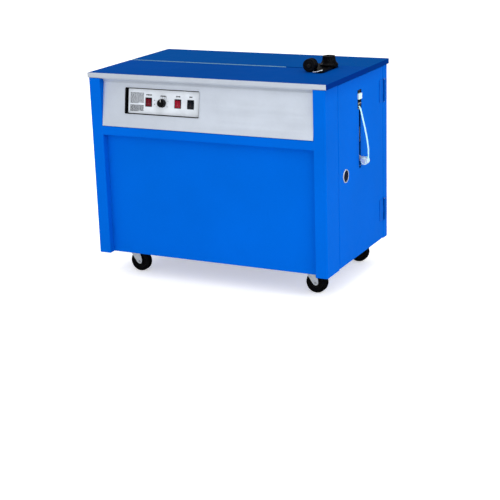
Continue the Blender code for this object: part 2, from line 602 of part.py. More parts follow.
# ================================================================ strap head under the slot
head_frame = box("head_frame", (0.1665, -0.0080, 0.6760), (0.2515, 0.0280, 0.7160),
                 material("head_iron", IRON, 0.5, 0.8))
add(head_frame,
    tbox((0.1665, -0.0080, 0.6100), (0.1715, 0.0280, 0.6800)),
    tbox((0.2465, -0.0080, 0.6100), (0.2515, 0.0280, 0.6800)),
    tbox((0.1500, -0.2480, 0.7010), (0.1720, 0.2690, 0.7155)),
    tbox((0.1258, -0.0080, 0.6960), (0.1600, 0.1650, 0.7040)),
    tbox((0.1258, -0.0080, 0.5850), (0.1308, 0.1650, 0.7000)))
cut(head_frame,
    trod("x", (CAM_Y, CAM_Z), 0.1600, 0.2600, 0.0086, sides=24),
    trod("x", (CAM_Y, CAM_Z), 0.1200, 0.1400, 0.0100, sides=16),
    trod("x", (MOTOR_Y, MOTOR_Z), 0.1200, 0.1350, 0.0130, sides=20))
GRIPS = {"left_gripper": (0.1760, 0.1940), "press_block": (0.1990, 0.2210),
         "right_gripper": (0.2260, 0.2440)}
for g, (x0, x1) in GRIPS.items():
    cut(head_frame, tbox((x0 - 0.0005, 0.0050, 0.6700), (x1 + 0.0005, 0.0150, 0.7200)))
    grip = box(g, (x0, 0.0055, 0.6530), (x1, 0.0145, 0.7220),
               material(g + "_steel", STEEL, 0.3, 1.0))
    if g == "press_block":
        cut(grip, tbox((x0 - 0.01, 0.0085, 0.7140), (x1 + 0.01, 0.0115, 0.7300)))
    else:
        for k in range(4):
            cut(grip, tbox((x0 + 0.0025 + k * 0.0038, 0.0000, 0.7208),
                           (x0 + 0.0040 + k * 0.0038, 0.0200, 0.7300)))

camshaft = turned("camshaft",
                  [(0.0, 0.2560), (0.0080, 0.2560), (0.0080, 0.1520), (0.0340, 0.1520),
                   (0.0340, 0.1508), (CAM_PULLEY_R, 0.1508), (CAM_PULLEY_R, 0.1392),
                   (0.0340, 0.1392), (0.0340, 0.1380), (0.0080, 0.1380), (0.0080, 0.1335),
                   (0.0, 0.1335)],
                  (0.0, CAM_Y, CAM_Z), (0, math.pi / 2, 0), material("cam_steel", STEEL, 0.3, 1.0),
                  steps=28)
for (x0, x1), phase in zip(GRIPS.values(), (90, 210, 330)):
    a = math.radians(phase)
    add(camshaft, trod("x", (CAM_Y + 0.0030 * math.cos(a), CAM_Z + 0.0030 * math.sin(a)),
                       x0 + 0.0020, x1 - 0.0020, 0.0140, sides=24))

motor_pulley = turned("motor_pulley",
                      [(0.0, 0.1560), (0.0050, 0.1560), (0.0050, 0.1520), (0.0185, 0.1520),
                       (0.0185, 0.1508), (MOTOR_PULLEY_R, 0.1508), (MOTOR_PULLEY_R, 0.1392),
                       (0.0185, 0.1392), (0.0185, 0.1380), (0.0050, 0.1380), (0.0050, 0.1150),
                       (0.0, 0.1150)],
                      (0.0, MOTOR_Y, MOTOR_Z), (0, math.pi / 2, 0),
                      material("pulley_aluminium", (0.7, 0.71, 0.72), 0.35, 1.0), steps=24)
drive_motor = turned("drive_motor",
                     [(0.0056, 0.1255), (0.0400, 0.1255), (0.0450, 0.1180), (0.0450, -0.0020),
                      (0.0400, -0.0100), (0.0, -0.0100), (0.0, 0.1100), (0.0056, 0.1100)],
                     (0.0, MOTOR_Y, MOTOR_Z), (0, math.pi / 2, 0),
                     material("motor_grey", (0.25, 0.27, 0.29), 0.5, 0.3), steps=32, ring=True)
add(drive_motor, tbox((0.0250, 0.0900, 0.6750), (0.0750, 0.1300, 0.6940)))


def belt_loop(r0, r1, extra):
    """Outline of a belt round two pulleys, in (Y, Z) from the first pulley's centre."""
    d = Vector((MOTOR_Y - CAM_Y, MOTOR_Z - CAM_Z))
    base = math.atan2(d.y, d.x)
    lean = math.acos((r0 - r1) / d.length)
    r0, r1 = r0 + extra, r1 + extra
    pts = []
    n = 14
    for k in range(n + 1):
        a = base + lean + (2 * math.pi - 2 * lean) * k / n
        pts.append((r0 * math.cos(a), r0 * math.sin(a)))
    for k in range(n + 1):
        a = base - lean + 2 * lean * k / n
        pts.append((d.x + r1 * math.cos(a), d.y + r1 * math.sin(a)))
    return pts


drive_belt = outline("drive_belt", belt_loop(CAM_PULLEY_R, MOTOR_PULLEY_R, 0.0028), 0.0054,
                     (0.1450, CAM_Y, CAM_Z), (math.pi / 2, 0, math.pi / 2),
                     material("belt_rubber", (0.02, 0.02, 0.02), 0.8, 0.0),
                     inner=belt_loop(CAM_PULLEY_R, MOTOR_PULLEY_R, 0.0006), mesh=True)

# ================================================================ strap reel
reel_stand = box("reel_stand", (-0.2300, 0.1060, 0.1063), (-0.1500, 0.1100, 0.3400),
                 material("stand_grey", (0.3, 0.32, 0.34), 0.45, 0.5))
add(reel_stand,
    tbox((-0.2600, 0.1060, 0.1063), (-0.1200, 0.1800, 0.1100)),
    trod("y", (REEL_X, REEL_Z), -0.1080, 0.1080, 0.0120, sides=20))
strap_reel = turned("strap_reel",
                    [(REEL_R, REEL_HALF), (REEL_R, 0.0970), (HUB_R, 0.0970), (HUB_R, -0.0970),
                     (REEL_R, -0.0970), (REEL_R, -REEL_HALF), (0.0126, -REEL_HALF),
                     (0.0126, REEL_HALF)],
                    (REEL_X, 0, REEL_Z), AXIS_ROT["y"], material("reel_grey", (0.2, 0.2, 0.2), 0.5, 0.0),
                    steps=32, ring=True)
cut(strap_reel,
    turned("tool", [(0.0940, 0.0970), (0.0940, -0.0970), (0.0180, -0.0970), (0.0180, 0.0970)],
           (REEL_X, 0, REEL_Z), AXIS_ROT["y"], tool=True, steps=24, ring=True))
for k in range(4):
    a = math.radians(45 + 90 * k)
    cut(strap_reel, trod("y", (REEL_X + 0.056 * math.cos(a), REEL_Z + 0.056 * math.sin(a)),
                         -0.120, 0.120, 0.022, sides=14))
strap_coil = turned("strap_coil",
                    [(COIL_R, 0.0965), (COIL_R, -0.0965), (0.0985, -0.0965), (0.0985, 0.0965)],
                    (REEL_X, 0, REEL_Z), AXIS_ROT["y"], material("coil_white", WHITE, 0.4, 0.0),
                    steps=32, ring=True)

# ================================================================ casters
for pos, (px, py) in CASTERS.items():
    plate = box(pos + "_caster_plate", (px - 0.033, py - 0.030, 0.1002),
                (px + 0.033, py + 0.030, 0.1032), material(pos + "_plate_zinc", ZINC, 0.35, 1.0),
                bevel=0.005, segments=1, along='z')
    add(plate, trod("z", (px, py), 0.0936, 0.1010, 0.0200, sides=24),
        trod("z", (px, py), 0.0785, 0.0950, 0.0040, sides=12))
    fork = rod(pos + "_caster_fork", "z", (px, py), 0.0815, 0.0932, 0.0215,
               material(pos + "_fork_zinc", ZINC, 0.35, 1.0), sides=24)
    leg = [(-0.0200, 0.0830), (0.0220, 0.0830), (0.0335, 0.0455), (0.0335, 0.0350),
           (0.0285, 0.0285), (0.0200, 0.0280), (0.0140, 0.0330)]
    add(fork, tbox((px - 0.0200, py - 0.0165, 0.0800), (px + 0.0225, py + 0.0165, 0.0830)))
    for side in (-1, 1):
        add(fork, outline("tool", leg, 0.00115, (px, py + side * 0.01535, 0.0),
                          (math.pi / 2, 0, 0), tool=True, mesh=True))
    add(fork, trod("y", (px + TRAIL, WHEEL_R), py - 0.0195, py + 0.0195, 0.0030, sides=12))
    cut(fork, trod("z", (px, py), 0.0700, 0.1000, 0.0045, sides=12))
    flat = WHEEL_R / math.cos(math.pi / 32)
    turned(pos + "_caster_wheel",
           [(0.0350, 0.0120), (flat, 0.0100), (flat, -0.0100), (0.0350, -0.0120),
            (0.0035, -0.0120), (0.0035, 0.0120)],
           (px + TRAIL, py, WHEEL_R), (-math.pi / 2, math.pi / 32, 0),
           material(pos + "_wheel_black", BLACK, 0.5, 0.0), steps=32, ring=True)

cable_gland = turned("cable_gland",
                     [(0.0045, 0.0090), (0.0085, 0.0090), (0.0100, 0.0060), (0.0120, 0.0060),
                      (0.0120, 0.0003), (0.0081, 0.0003), (0.0081, -0.0024), (0.0120, -0.0024),
                      (0.0120, -0.0080), (0.0045, -0.0080)],
                     (-0.320, CAB_REAR, 0.160), AXIS_ROT["y"],
                     material("gland_black", BLACK, 0.5, 0.0), steps=20, ring=True)

bpy.context.view_layer.update()
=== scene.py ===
# Semi automatic strapping machine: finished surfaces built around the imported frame.
# Metres, +Z up, front of the machine towards -Y.
import math

import bpy
import bmesh
from mathutils import Matrix, Vector


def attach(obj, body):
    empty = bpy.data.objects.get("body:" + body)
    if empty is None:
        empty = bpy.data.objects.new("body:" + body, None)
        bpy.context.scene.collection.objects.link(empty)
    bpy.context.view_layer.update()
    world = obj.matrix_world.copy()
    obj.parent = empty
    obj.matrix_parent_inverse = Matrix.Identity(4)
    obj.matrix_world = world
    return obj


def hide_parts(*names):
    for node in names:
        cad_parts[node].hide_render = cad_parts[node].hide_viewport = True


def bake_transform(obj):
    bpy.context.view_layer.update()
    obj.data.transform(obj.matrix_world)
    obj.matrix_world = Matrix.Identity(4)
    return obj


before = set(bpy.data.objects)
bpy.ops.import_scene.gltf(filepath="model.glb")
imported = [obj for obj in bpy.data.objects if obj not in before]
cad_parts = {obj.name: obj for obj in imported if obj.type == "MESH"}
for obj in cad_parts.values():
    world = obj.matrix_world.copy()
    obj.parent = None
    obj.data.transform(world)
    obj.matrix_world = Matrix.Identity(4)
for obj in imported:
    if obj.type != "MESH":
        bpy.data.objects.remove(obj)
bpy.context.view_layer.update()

rad = math.radians
SX = -0.014                                    # table centre, in the row frame
HOME = Matrix.Translation((SX, 0.0, 0.0))
TILT = rad(9.14)
SLOPE = HOME @ Matrix.Translation((0.0, -0.281, 0.5508)) @ Matrix.Rotation(-TILT, 4, 'X')


def axes(u, v, w, origin=(0.0, 0.0, 0.0)):
    """Matrix that takes (u, v, w) to the three given directions."""
    m = Matrix.Identity(4)
    for i, a in enumerate((u, v, w)):
        for j in range(3):
            m[j][i] = a[j]
    m.translation = Vector(origin)
    return m


def move(x, y, z):
    return Matrix.Translation((x, y, z))


def turn(deg, axis):
    return Matrix.Rotation(rad(deg), 4, axis)


DOOR_AX = axes((0, 1, 0), (0, 0, 1), (1, 0, 0))
LEFT_AX = axes((0, -1, 0), (0, 0, 1), (-1, 0, 0))
REAR_AX = axes((-1, 0, 0), (0, 0, 1), (0, 1, 0))
FRONT_AX = axes((1, 0, 0), (0, 0, 1), (0, -1, 0))
FASCIA_AX = axes((1, 0, 0), (0, 0, 1), (0, -1, 0))    # on SLOPE: across, up the slope, outward
TO_X, TO_Y = turn(90, 'Y'), turn(-90, 'X')


# ================================================================ mesh tools
def bm_from(me):
    bm = bmesh.new()
    bm.from_mesh(me)
    return bm


def evaluated(bm, mods, others=()):
    """The mesh after modifiers, each given as (type, settings)."""
    me = bpy.data.meshes.new("work")
    bm.to_mesh(me)
    bm.free()
    ob = bpy.data.objects.new("work", me)
    bpy.context.scene.collection.objects.link(ob)
    for kind, settings in mods:
        mod = ob.modifiers.new(kind.lower(), kind)
        for k, v in settings.items():
            setattr(mod, k, v)
    bpy.context.view_layer.update()
    dg = bpy.context.evaluated_depsgraph_get()
    new = bpy.data.meshes.new_from_object(ob.evaluated_get(dg))
    out = bm_from(new)
    bpy.data.meshes.remove(new)
    bpy.data.objects.remove(ob, do_unlink=True)
    bpy.data.meshes.remove(me)
    for o in others:
        data = o.data
        bpy.data.objects.remove(o, do_unlink=True)
        bpy.data.meshes.remove(data)
    return out


def soften(bm, width=0.0005, seg=2, angle=35.0):
    """Rounds every edge sharper than the angle."""
    return evaluated(bm, [('BEVEL', dict(width=width, segments=seg, limit_method='ANGLE',
                                         angle_limit=rad(angle), use_clamp_overlap=True,
                                         miter_outer='MITER_ARC'))])


def joined(*bms):
    out = bmesh.new()
    for bm in bms:
        me = bpy.data.meshes.new("work")
        bm.to_mesh(me)
        bm.free()
        out.from_mesh(me)
        bpy.data.meshes.remove(me)
    return out


def carve(bm, *tools, op='DIFFERENCE'):
    """Exact boolean with the tools."""
    bmesh.ops.recalc_face_normals(bm, faces=bm.faces)
    mods, others = [], []
    for t in tools:
        bmesh.ops.recalc_face_normals(t, faces=t.faces)
        me = bpy.data.meshes.new("tool")
        t.to_mesh(me)
        t.free()
        ob = bpy.data.objects.new("tool", me)
        bpy.context.scene.collection.objects.link(ob)
        others.append(ob)
        mods.append(('BOOLEAN', dict(operation=op, object=ob, solver='EXACT')))
    return evaluated(bm, mods, others)


def placed(bm, matrix):
    bmesh.ops.transform(bm, matrix=matrix, verts=bm.verts)
    if matrix.determinant() < 0:
        bmesh.ops.reverse_faces(bm, faces=bm.faces)
    return bm


def rbox(lo, hi, r=0.0008, seg=2):
    """Box between two corners with every edge rounded."""
    lo, hi = Vector(lo), Vector(hi)
    bm = bmesh.new()
    bmesh.ops.create_cube(bm, size=1.0)
    bmesh.ops.scale(bm, vec=hi - lo, verts=bm.verts)
    bmesh.ops.translate(bm, vec=(lo + hi) / 2, verts=bm.verts)
    if r > 0:
        bmesh.ops.bevel(bm, geom=list(bm.edges), offset=r, segments=seg, profile=0.5,
                        affect='EDGES', clamp_overlap=True)
    return bm


def fillet(points, radius, seg=5, closed=False):
    """Rounds the corners of a 2D polyline; radius is one number, or one for each point."""
    n = len(points)
    out = []
    for i, p in enumerate(points):
        r = radius[i] if isinstance(radius, (list, tuple)) else radius
        if r <= 0 or (not closed and i in (0, n - 1)):
            out.append((p[0], p[1]))
            continue
        b = Vector(p[:2])
        u, v = Vector(points[i - 1][:2]) - b, Vector(points[(i + 1) % n][:2]) - b
        lu, lv = u.length, v.length
        u.normalize()
        v.normalize()
        ang = math.acos(max(-1.0, min(1.0, u.dot(v))))
        if ang > math.pi - 0.01 or ang < 0.01:
            out.append((p[0], p[1]))
            continue
        d = min(r / math.tan(ang / 2), lu * 0.49, lv * 0.49)
        rr = d * math.tan(ang / 2)
        c = b + (u + v).normalized() * (rr / math.sin(ang / 2))
        s, e = b + u * d - c, b + v * d - c
        a0, a1 = math.atan2(s.y, s.x), math.atan2(e.y, e.x)
        while a1 - a0 > math.pi:
            a1 -= 2 * math.pi
        while a1 - a0 < -math.pi:
            a1 += 2 * math.pi
        for k in range(seg + 1):
            a = a0 + (a1 - a0) * k / seg
            out.append((c.x + rr * math.cos(a), c.y + rr * math.sin(a)))
    return out


def prism(outline, w0, w1, r=0.0004, seg=2):
    """Closed outline in (u, v) between two heights, both rims rounded by r."""
    bm = bmesh.new()
    f = bm.faces.new([bm.verts.new((x, y, w0)) for x, y in outline])
    ext = bmesh.ops.extrude_face_region(bm, geom=[f])
    top = [g for g in ext["geom"] if isinstance(g, bmesh.types.BMVert)]
    bmesh.ops.translate(bm, vec=(0, 0, w1 - w0), verts=top)
    bmesh.ops.recalc_face_normals(bm, faces=bm.faces)
    if r > 0:
        rims = [e for e in bm.edges if abs(e.verts[0].co.z - e.verts[1].co.z) < 1e-9]
        bmesh.ops.bevel(bm, geom=rims, offset=r, segments=seg, profile=0.5, affect='EDGES',
                        clamp_overlap=True)
    return bm


def rect(x0, x1, y0, y1, r=0.0, seg=5):
    pts = [(x0, y0), (x1, y0), (x1, y1), (x0, y1)]
    return fillet(pts, r, seg, closed=True) if r > 0 else pts


def circle(x, y, r, n=32, start=0.0):
    return [(x + r * math.cos(start + 2 * math.pi * k / n),
             y + r * math.sin(start + 2 * math.pi * k / n)) for k in range(n)]


def ring_loft(x0, x1, y0, y1, r, profile, seg=6, cap=False):
    """Section (outset, height) carried round a rounded rectangle; cap closes it with a floor
    on the last section point instead of joining back to the first."""
    bm = bmesh.new()
    loops = []
    for d, w in profile:
        rr = max(r + d, 0.0002)
        loops.append([bm.verts.new((x, y, w))
                      for x, y in rect(x0 - d, x1 + d, y0 - d, y1 + d, rr, seg)])
    pairs = list(zip(loops, loops[1:])) + ([] if cap else [(loops[-1], loops[0])])
    for a, b in pairs:
        for k in range(len(a)):
            m = (k + 1) % len(a)
            bm.faces.new((a[k], a[m], b[m], b[k]))
    if cap:
        bm.faces.new(loops[-1])
        bm.faces.new(loops[0][::-1])
    bmesh.ops.recalc_face_normals(bm, faces=bm.faces)
    return bm


def lathe(profile, steps=48, ring=False, shape=None):
    """Turned about Z; profile is (radius, height). shape(angle, radius, height) may vary it."""
    bm = bmesh.new()
    n = len(profile)
    poles = {i: bm.verts.new((0, 0, z)) for i, (r, z) in enumerate(profile) if r < 1e-7}
    cols = []
    for k in range(steps):
        a = 2 * math.pi * k / steps
        col = []
        for i, (r, z) in enumerate(profile):
            if i in poles:
                col.append(poles[i])
            else:
                rr = shape(a, r, z) if shape else r
                col.append(bm.verts.new((rr * math.cos(a), rr * math.sin(a), z)))
        cols.append(col)
    for k in range(steps):
        a, b = cols[k], cols[(k + 1) % steps]
        for i in range(n if ring else n - 1):
            j = (i + 1) % n
            vs = []
            for v in (a[i], a[j], b[j], b[i]):
                if v not in vs:
                    vs.append(v)
            if len(vs) > 2:
                bm.faces.new(vs)
    bmesh.ops.recalc_face_normals(bm, faces=bm.faces)
    return bm


def turned(points, radius=0.0, steps=48, ring=False, seg=3, shape=None):
    """Turned shape whose profile corners are rounded."""
    return lathe(fillet(points, radius, seg, closed=ring) if radius else points, steps, ring, shape)


def folded(path, thick, w0, w1, cuts=1):
    """Bent sheet: centre-line path in (u, v), swept along w."""
    pts = [Vector(p[:2]) for p in path]
    n = len(pts)
    a_side, b_side = [], []
    for i, p in enumerate(pts):
        t0 = (p - pts[i - 1]).normalized() if i else None
        t1 = (pts[i + 1] - p).normalized() if i < n - 1 else None
        t = ((t0 or t1) + (t1 or t0)).normalized()
        nrm = Vector((-t.y, t.x))
        m = 1.0 / max(0.5, t.dot(t0 or t1))
        a_side.append(p + nrm * thick / 2 * m)
        b_side.append(p - nrm * thick / 2 * m)
    loop = a_side + b_side[::-1]
    bm = bmesh.new()
    rows = [[bm.verts.new((p.x, p.y, w0 + (w1 - w0) * k / cuts)) for p in loop]
            for k in range(cuts + 1)]
    m = len(loop)
    for r0, r1 in zip(rows, rows[1:]):
        for i in range(m):
            j = (i + 1) % m
            bm.faces.new((r0[i], r0[j], r1[j], r1[i]))
    for row in (rows[0], rows[-1]):
        for i in range(n - 1):
            bm.faces.new((row[i], row[i + 1], row[m - 2 - i], row[m - 1 - i]))
    bmesh.ops.recalc_face_normals(bm, faces=bm.faces)
    return bm


def pan(outline, depth, thick, r=0.003, seg=4, corner=0.0, edge=0.0004):
    """Pressed tray: face at w = 0 on the outline, walls folded back by depth, bends rounded."""
    bm = bmesh.new()
    loop = fillet(outline, corner, 6, closed=True) if corner else outline
    top = bm.faces.new([bm.verts.new((x, y, 0.0)) for x, y in loop])
    ext = bmesh.ops.extrude_edge_only(bm, edges=list(top.edges))
    low = [g for g in ext["geom"] if isinstance(g, bmesh.types.BMVert)]
    bmesh.ops.translate(bm, vec=(0, 0, -depth), verts=low)
    bmesh.ops.recalc_face_normals(bm, faces=bm.faces)
    if top.normal.z < 0:
        bmesh.ops.reverse_faces(bm, faces=bm.faces)
    geom = [e for e in bm.edges
            if not (e.verts[0].co.z < -depth / 2 and e.verts[1].co.z < -depth / 2)]
    if corner:
        geom = [e for e in geom if abs(e.verts[0].co.z - e.verts[1].co.z) < 1e-9]
    bmesh.ops.bevel(bm, geom=geom, offset=r, segments=seg, profile=0.5, affect='EDGES',
                    clamp_overlap=True)
    return evaluated(bm, [('SOLIDIFY', dict(thickness=thick, offset=-1.0, use_even_offset=True,
                                            use_rim=True)),
                          ('BEVEL', dict(width=edge, segments=2, limit_method='ANGLE',
                                         angle_limit=rad(60)))])


def tube(points, radius, sides=12, flat=1.0, closed=False):
    """Round bar along a smooth 3D path; flat squeezes the section."""
    pts = [Vector(p) for p in points]
    n = len(pts)
    bm = bmesh.new()
    rows = []
    up = Vector((0, 0, 1))
    for i, p in enumerate(pts):
        t = (pts[min(i + 1, n - 1)] - pts[max(i - 1, 0)]).normalized()
        s = t.cross(up)
        if s.length < 1e-4:
            s = t.cross(Vector((0, 1, 0)))
        s.normalize()
        q = s.cross(t).normalized()
        up = q
        rows.append([bm.verts.new(p + s * radius * math.cos(a) + q * radius * flat * math.sin(a))
                     for a in (2 * math.pi * k / sides for k in range(sides))])
    for r0, r1 in zip(rows, rows[1:]):
        for i in range(sides):
            j = (i + 1) % sides
            bm.faces.new((r0[i], r0[j], r1[j], r1[i]))
    bm.faces.new(rows[0])
    bm.faces.new(rows[-1])
    bmesh.ops.recalc_face_normals(bm, faces=bm.faces)
    return bm


def rod(p0, p1, r, sides=28, edge=0.0004):
    """Round bar with chamfered ends between two points."""
    p0, p1 = Vector(p0), Vector(p1)
    d = p1 - p0
    h = d.length
    e = min(edge, r * 0.5, h * 0.3)
    bm = lathe([(0, h), (r - e, h), (r, h - e), (r, e), (r - e, 0), (0, 0)], sides)
    q = Vector((0, 0, 1)).rotation_difference(d.normalized()).to_matrix().to_4x4()
    return placed(bm, Matrix.Translation(p0) @ q)


def smooth(points, per=4):
    """Points of a smooth curve through the given points, of any dimension."""
    out = []
    n = len(points)
    dim = len(points[0])
    for i in range(n - 1):
        p0, p1 = points[max(i - 1, 0)], points[i]
        p2, p3 = points[i + 1], points[min(i + 2, n - 1)]
        for k in range(per):
            t = k / per
            out.append(tuple(0.5 * (2 * p1[j] + (p2[j] - p0[j]) * t
                                    + (2 * p0[j] - 5 * p1[j] + 4 * p2[j] - p3[j]) * t * t
                                    + (3 * p1[j] - p0[j] - 3 * p2[j] + p3[j]) * t ** 3)
                             for j in range(dim)))
    out.append(tuple(points[-1]))
    return out


def pan_head(d=0.008, h=0.0028, deg=20.0):
    """Domed screw head on w = 0 with a cross recess."""
    r = d / 2
    bm = lathe([(0, h)] + [(r * math.sin(a), h * 0.35 + h * 0.65 * math.cos(a))
                           for a in (rad(k) for k in (20, 40, 60, 78, 90))] + [(r, 0), (0, 0)], 28)
    c = d * 0.07
    cross = joined(rbox((-d * 0.27, -c, h * 0.45), (d * 0.27, c, h * 1.5), 0),
                   rbox((-c, -d * 0.27, h * 0.47), (c, d * 0.27, h * 1.6), 0))
    bm = carve(bm, cross)
    return placed(bm, turn(deg, 'Z'))


def hex_head(s=0.010, h=0.004, deg=10.0, washer=True):
    """Hexagon head or nut on w = 0, corners turned off, on a washer."""
    base = 0.0012 if washer else 0.0
    bm = prism(circle(0, 0, s / 2 / math.cos(math.pi / 6), 6), base, base + h, 0.0)
    cone = lathe([(0, base + h), (s * 0.47, base + h), (s * 0.60, base + h * 0.72),
                  (s * 0.60, 0), (0, 0)], 36)
    bm = carve(bm, cone, op='INTERSECT')
    if washer:
        bm = joined(bm, lathe([(0, base), (s * 0.70, base), (s * 0.78, base * 0.6),
                               (s * 0.78, 0), (0, 0)], 36))
    return placed(bm, turn(deg, 'Z'))


def socket_head(d=0.007, h=0.004):
    r = d / 2
    bm = lathe([(0, h), (r - 0.0005, h), (r, h - 0.0006), (r, 0), (0, 0)], 28)
    return carve(bm, prism(circle(0, 0, d * 0.29, 6), h * 0.4, h * 2, 0.0))


PAN, HEX, SOCKET = pan_head(), hex_head(), socket_head()


def screw(kind, matrix, scale=1.0):
    return placed(kind.copy(), matrix @ Matrix.Scale(scale, 4))


COLLECTION = bpy.data.collections.new("machine_finish")
bpy.context.scene.collection.children.link(COLLECTION)


def piece(name, parts, body, replaces=(), at=HOME, sharp=32.0, weighted=True):
    """One visible piece from (mesh, material) pairs, riding on a body."""
    me = bpy.data.meshes.new(name)
    out = bmesh.new()
    mats = []
    for bm, mat in parts:
        if mat not in mats:
            mats.append(mat)
        for f in bm.faces:
            f.material_index = mats.index(mat)
        work = bpy.data.meshes.new("work")
        bm.to_mesh(work)
        bm.free()
        out.from_mesh(work)
        bpy.data.meshes.remove(work)
    for f in out.faces:
        f.smooth = True
    out.to_mesh(me)
    out.free()
    for mat in mats:
        me.materials.append(mat)
    me.set_sharp_from_angle(angle=rad(sharp))
    ob = bpy.data.objects.new(name, me)
    COLLECTION.objects.link(ob)
    ob.matrix_world = at
    if weighted:
        mod = ob.modifiers.new("normals", 'WEIGHTED_NORMAL')
        mod.keep_sharp = True
        mod.weight = 60
    if body:
        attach(ob, body)
    if replaces:
        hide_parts(*([replaces] if isinstance(replaces, str) else replaces))
    return ob


# ================================================================ materials
class Nodes:
    """A node tree written as short calls."""

    def __init__(self, name, coords='Object'):
        self.mat = bpy.data.materials.new(name)
        self.mat.use_nodes = True
        self.t = self.mat.node_tree
        self.bsdf = self.t.nodes["Principled BSDF"]
        self.co = self.t.nodes.new('ShaderNodeTexCoord').outputs[coords]

    def node(self, kind, **settings):
        n = self.t.nodes.new(kind)
        for k, v in settings.items():
            setattr(n, k, v)
        return n

    def link(self, a, b):
        self.t.links.new(a, b)

    def put(self, value, socket):
        if isinstance(value, bpy.types.NodeSocket):
            self.link(value, socket)
        elif isinstance(value, (tuple, list)) and len(value) == 3 and socket.type == 'RGBA':
            socket.default_value = (*value, 1.0)
        else:
            socket.default_value = value

    def stretch(self, scale, rotation=(0, 0, 0), location=(0, 0, 0), src=None):
        n = self.node('ShaderNodeMapping')
        self.link(src or self.co, n.inputs['Vector'])
        n.inputs['Scale'].default_value = scale
        n.inputs['Rotation'].default_value = rotation
        n.inputs['Location'].default_value = location
        return n.outputs['Vector']

    def noise(self, scale, detail=2.0, rough=0.5, src=None, distort=0.0, colour=False):
        n = self.node('ShaderNodeTexNoise')
        self.link(src or self.co, n.inputs['Vector'])
        n.inputs['Scale'].default_value = scale
        n.inputs['Detail'].default_value = detail
        n.inputs['Roughness'].default_value = rough
        n.inputs['Distortion'].default_value = distort
        return n.outputs['Color' if colour else 'Fac']

    def voronoi(self, scale, feature='F1', src=None, out='Distance', randomness=1.0):
        n = self.node('ShaderNodeTexVoronoi', feature=feature)
        self.link(src or self.co, n.inputs['Vector'])
        n.inputs['Scale'].default_value = scale
        n.inputs['Randomness'].default_value = randomness
        return n.outputs[out]

    def wave(self, scale, direction='X', kind='BANDS', profile='SIN', src=None, distort=0.0,
             detail=0.0):
        n = self.node('ShaderNodeTexWave', wave_type=kind, wave_profile=profile)
        if kind == 'BANDS':
            n.bands_direction = direction
        else:
            n.rings_direction = direction
        self.link(src or self.co, n.inputs['Vector'])
        n.inputs['Scale'].default_value = scale
        n.inputs['Distortion'].default_value = distort
        n.inputs['Detail'].default_value = detail
        return n.outputs['Fac']

    def math(self, op, a, b=0.0, clamp=False):
        n = self.node('ShaderNodeMath', operation=op, use_clamp=clamp)
        self.put(a, n.inputs[0])
        self.put(b, n.inputs[1])
        return n.outputs[0]

    def span(self, x, a, b, lo=0.0, hi=1.0, smooth=False):
        """x from a..b mapped to lo..hi, clamped."""
        n = self.node('ShaderNodeMapRange', clamp=True,
                      interpolation_type='SMOOTHSTEP' if smooth else 'LINEAR')
        self.put(x, n.inputs['Value'])
        for k, v in zip(('From Min', 'From Max', 'To Min', 'To Max'), (a, b, lo, hi)):
            n.inputs[k].default_value = v
        return n.outputs['Result']

    def mix(self, fac, a, b, mode='MIX'):
        n = self.node('ShaderNodeMix', data_type='RGBA', blend_type=mode)
        self.put(fac, n.inputs[0])
        self.put(a, n.inputs[6])
        self.put(b, n.inputs[7])
        return n.outputs[2]

    def axis(self, k, src=None):
        n = self.node('ShaderNodeSeparateXYZ')
        self.link(src or self.co, n.inputs[0])
        return n.outputs[k]

    def bump(self, height, strength, distance, normal=None):
        n = self.node('ShaderNodeBump')
        n.inputs['Strength'].default_value = strength
        n.inputs['Distance'].default_value = distance
        self.link(height, n.inputs['Height'])
        if normal is not None:
            self.link(normal, n.inputs['Normal'])
        return n.outputs['Normal']

    def edges(self, radius=0.0015, lo=0.02, hi=0.12, samples=3):
        """1 along convex edges, from how far the rounded normal leans off the true one."""
        b = self.node('ShaderNodeBevel', samples=samples)
        b.inputs['Radius'].default_value = radius
        g = self.node('ShaderNodeNewGeometry')
        d = self.node('ShaderNodeVectorMath', operation='DOT_PRODUCT')
        self.link(b.outputs[0], d.inputs[0])
        self.link(g.outputs['Normal'], d.inputs[1])
        return self.span(d.outputs['Value'], 1.0 - lo, 1.0 - hi)

    def out(self, colour=None, rough=None, metal=None, normal=None, **fixed):
        i = self.bsdf.inputs
        for key, v in (("Base Color", colour), ("Roughness", rough), ("Metallic", metal),
                       ("Normal", normal)):
            if v is not None:
                self.put(v, i[key])
        for k, v in fixed.items():
            key = {"specular": "Specular IOR Level", "coat": "Coat Weight",
                   "coat_rough": "Coat Roughness", "sss": "Subsurface Weight",
                   "sss_scale": "Subsurface Scale", "aniso": "Anisotropic", "ior": "IOR",
                   "sheen": "Sheen Weight", "transmission": "Transmission Weight",
                   "tint": "Specular Tint"}[k]
            i[key].default_value = (*v, 1.0) if k == "tint" else v
        return self.mat


def shade(rgb, k):
    return tuple(min(1.0, c * k) for c in rgb)


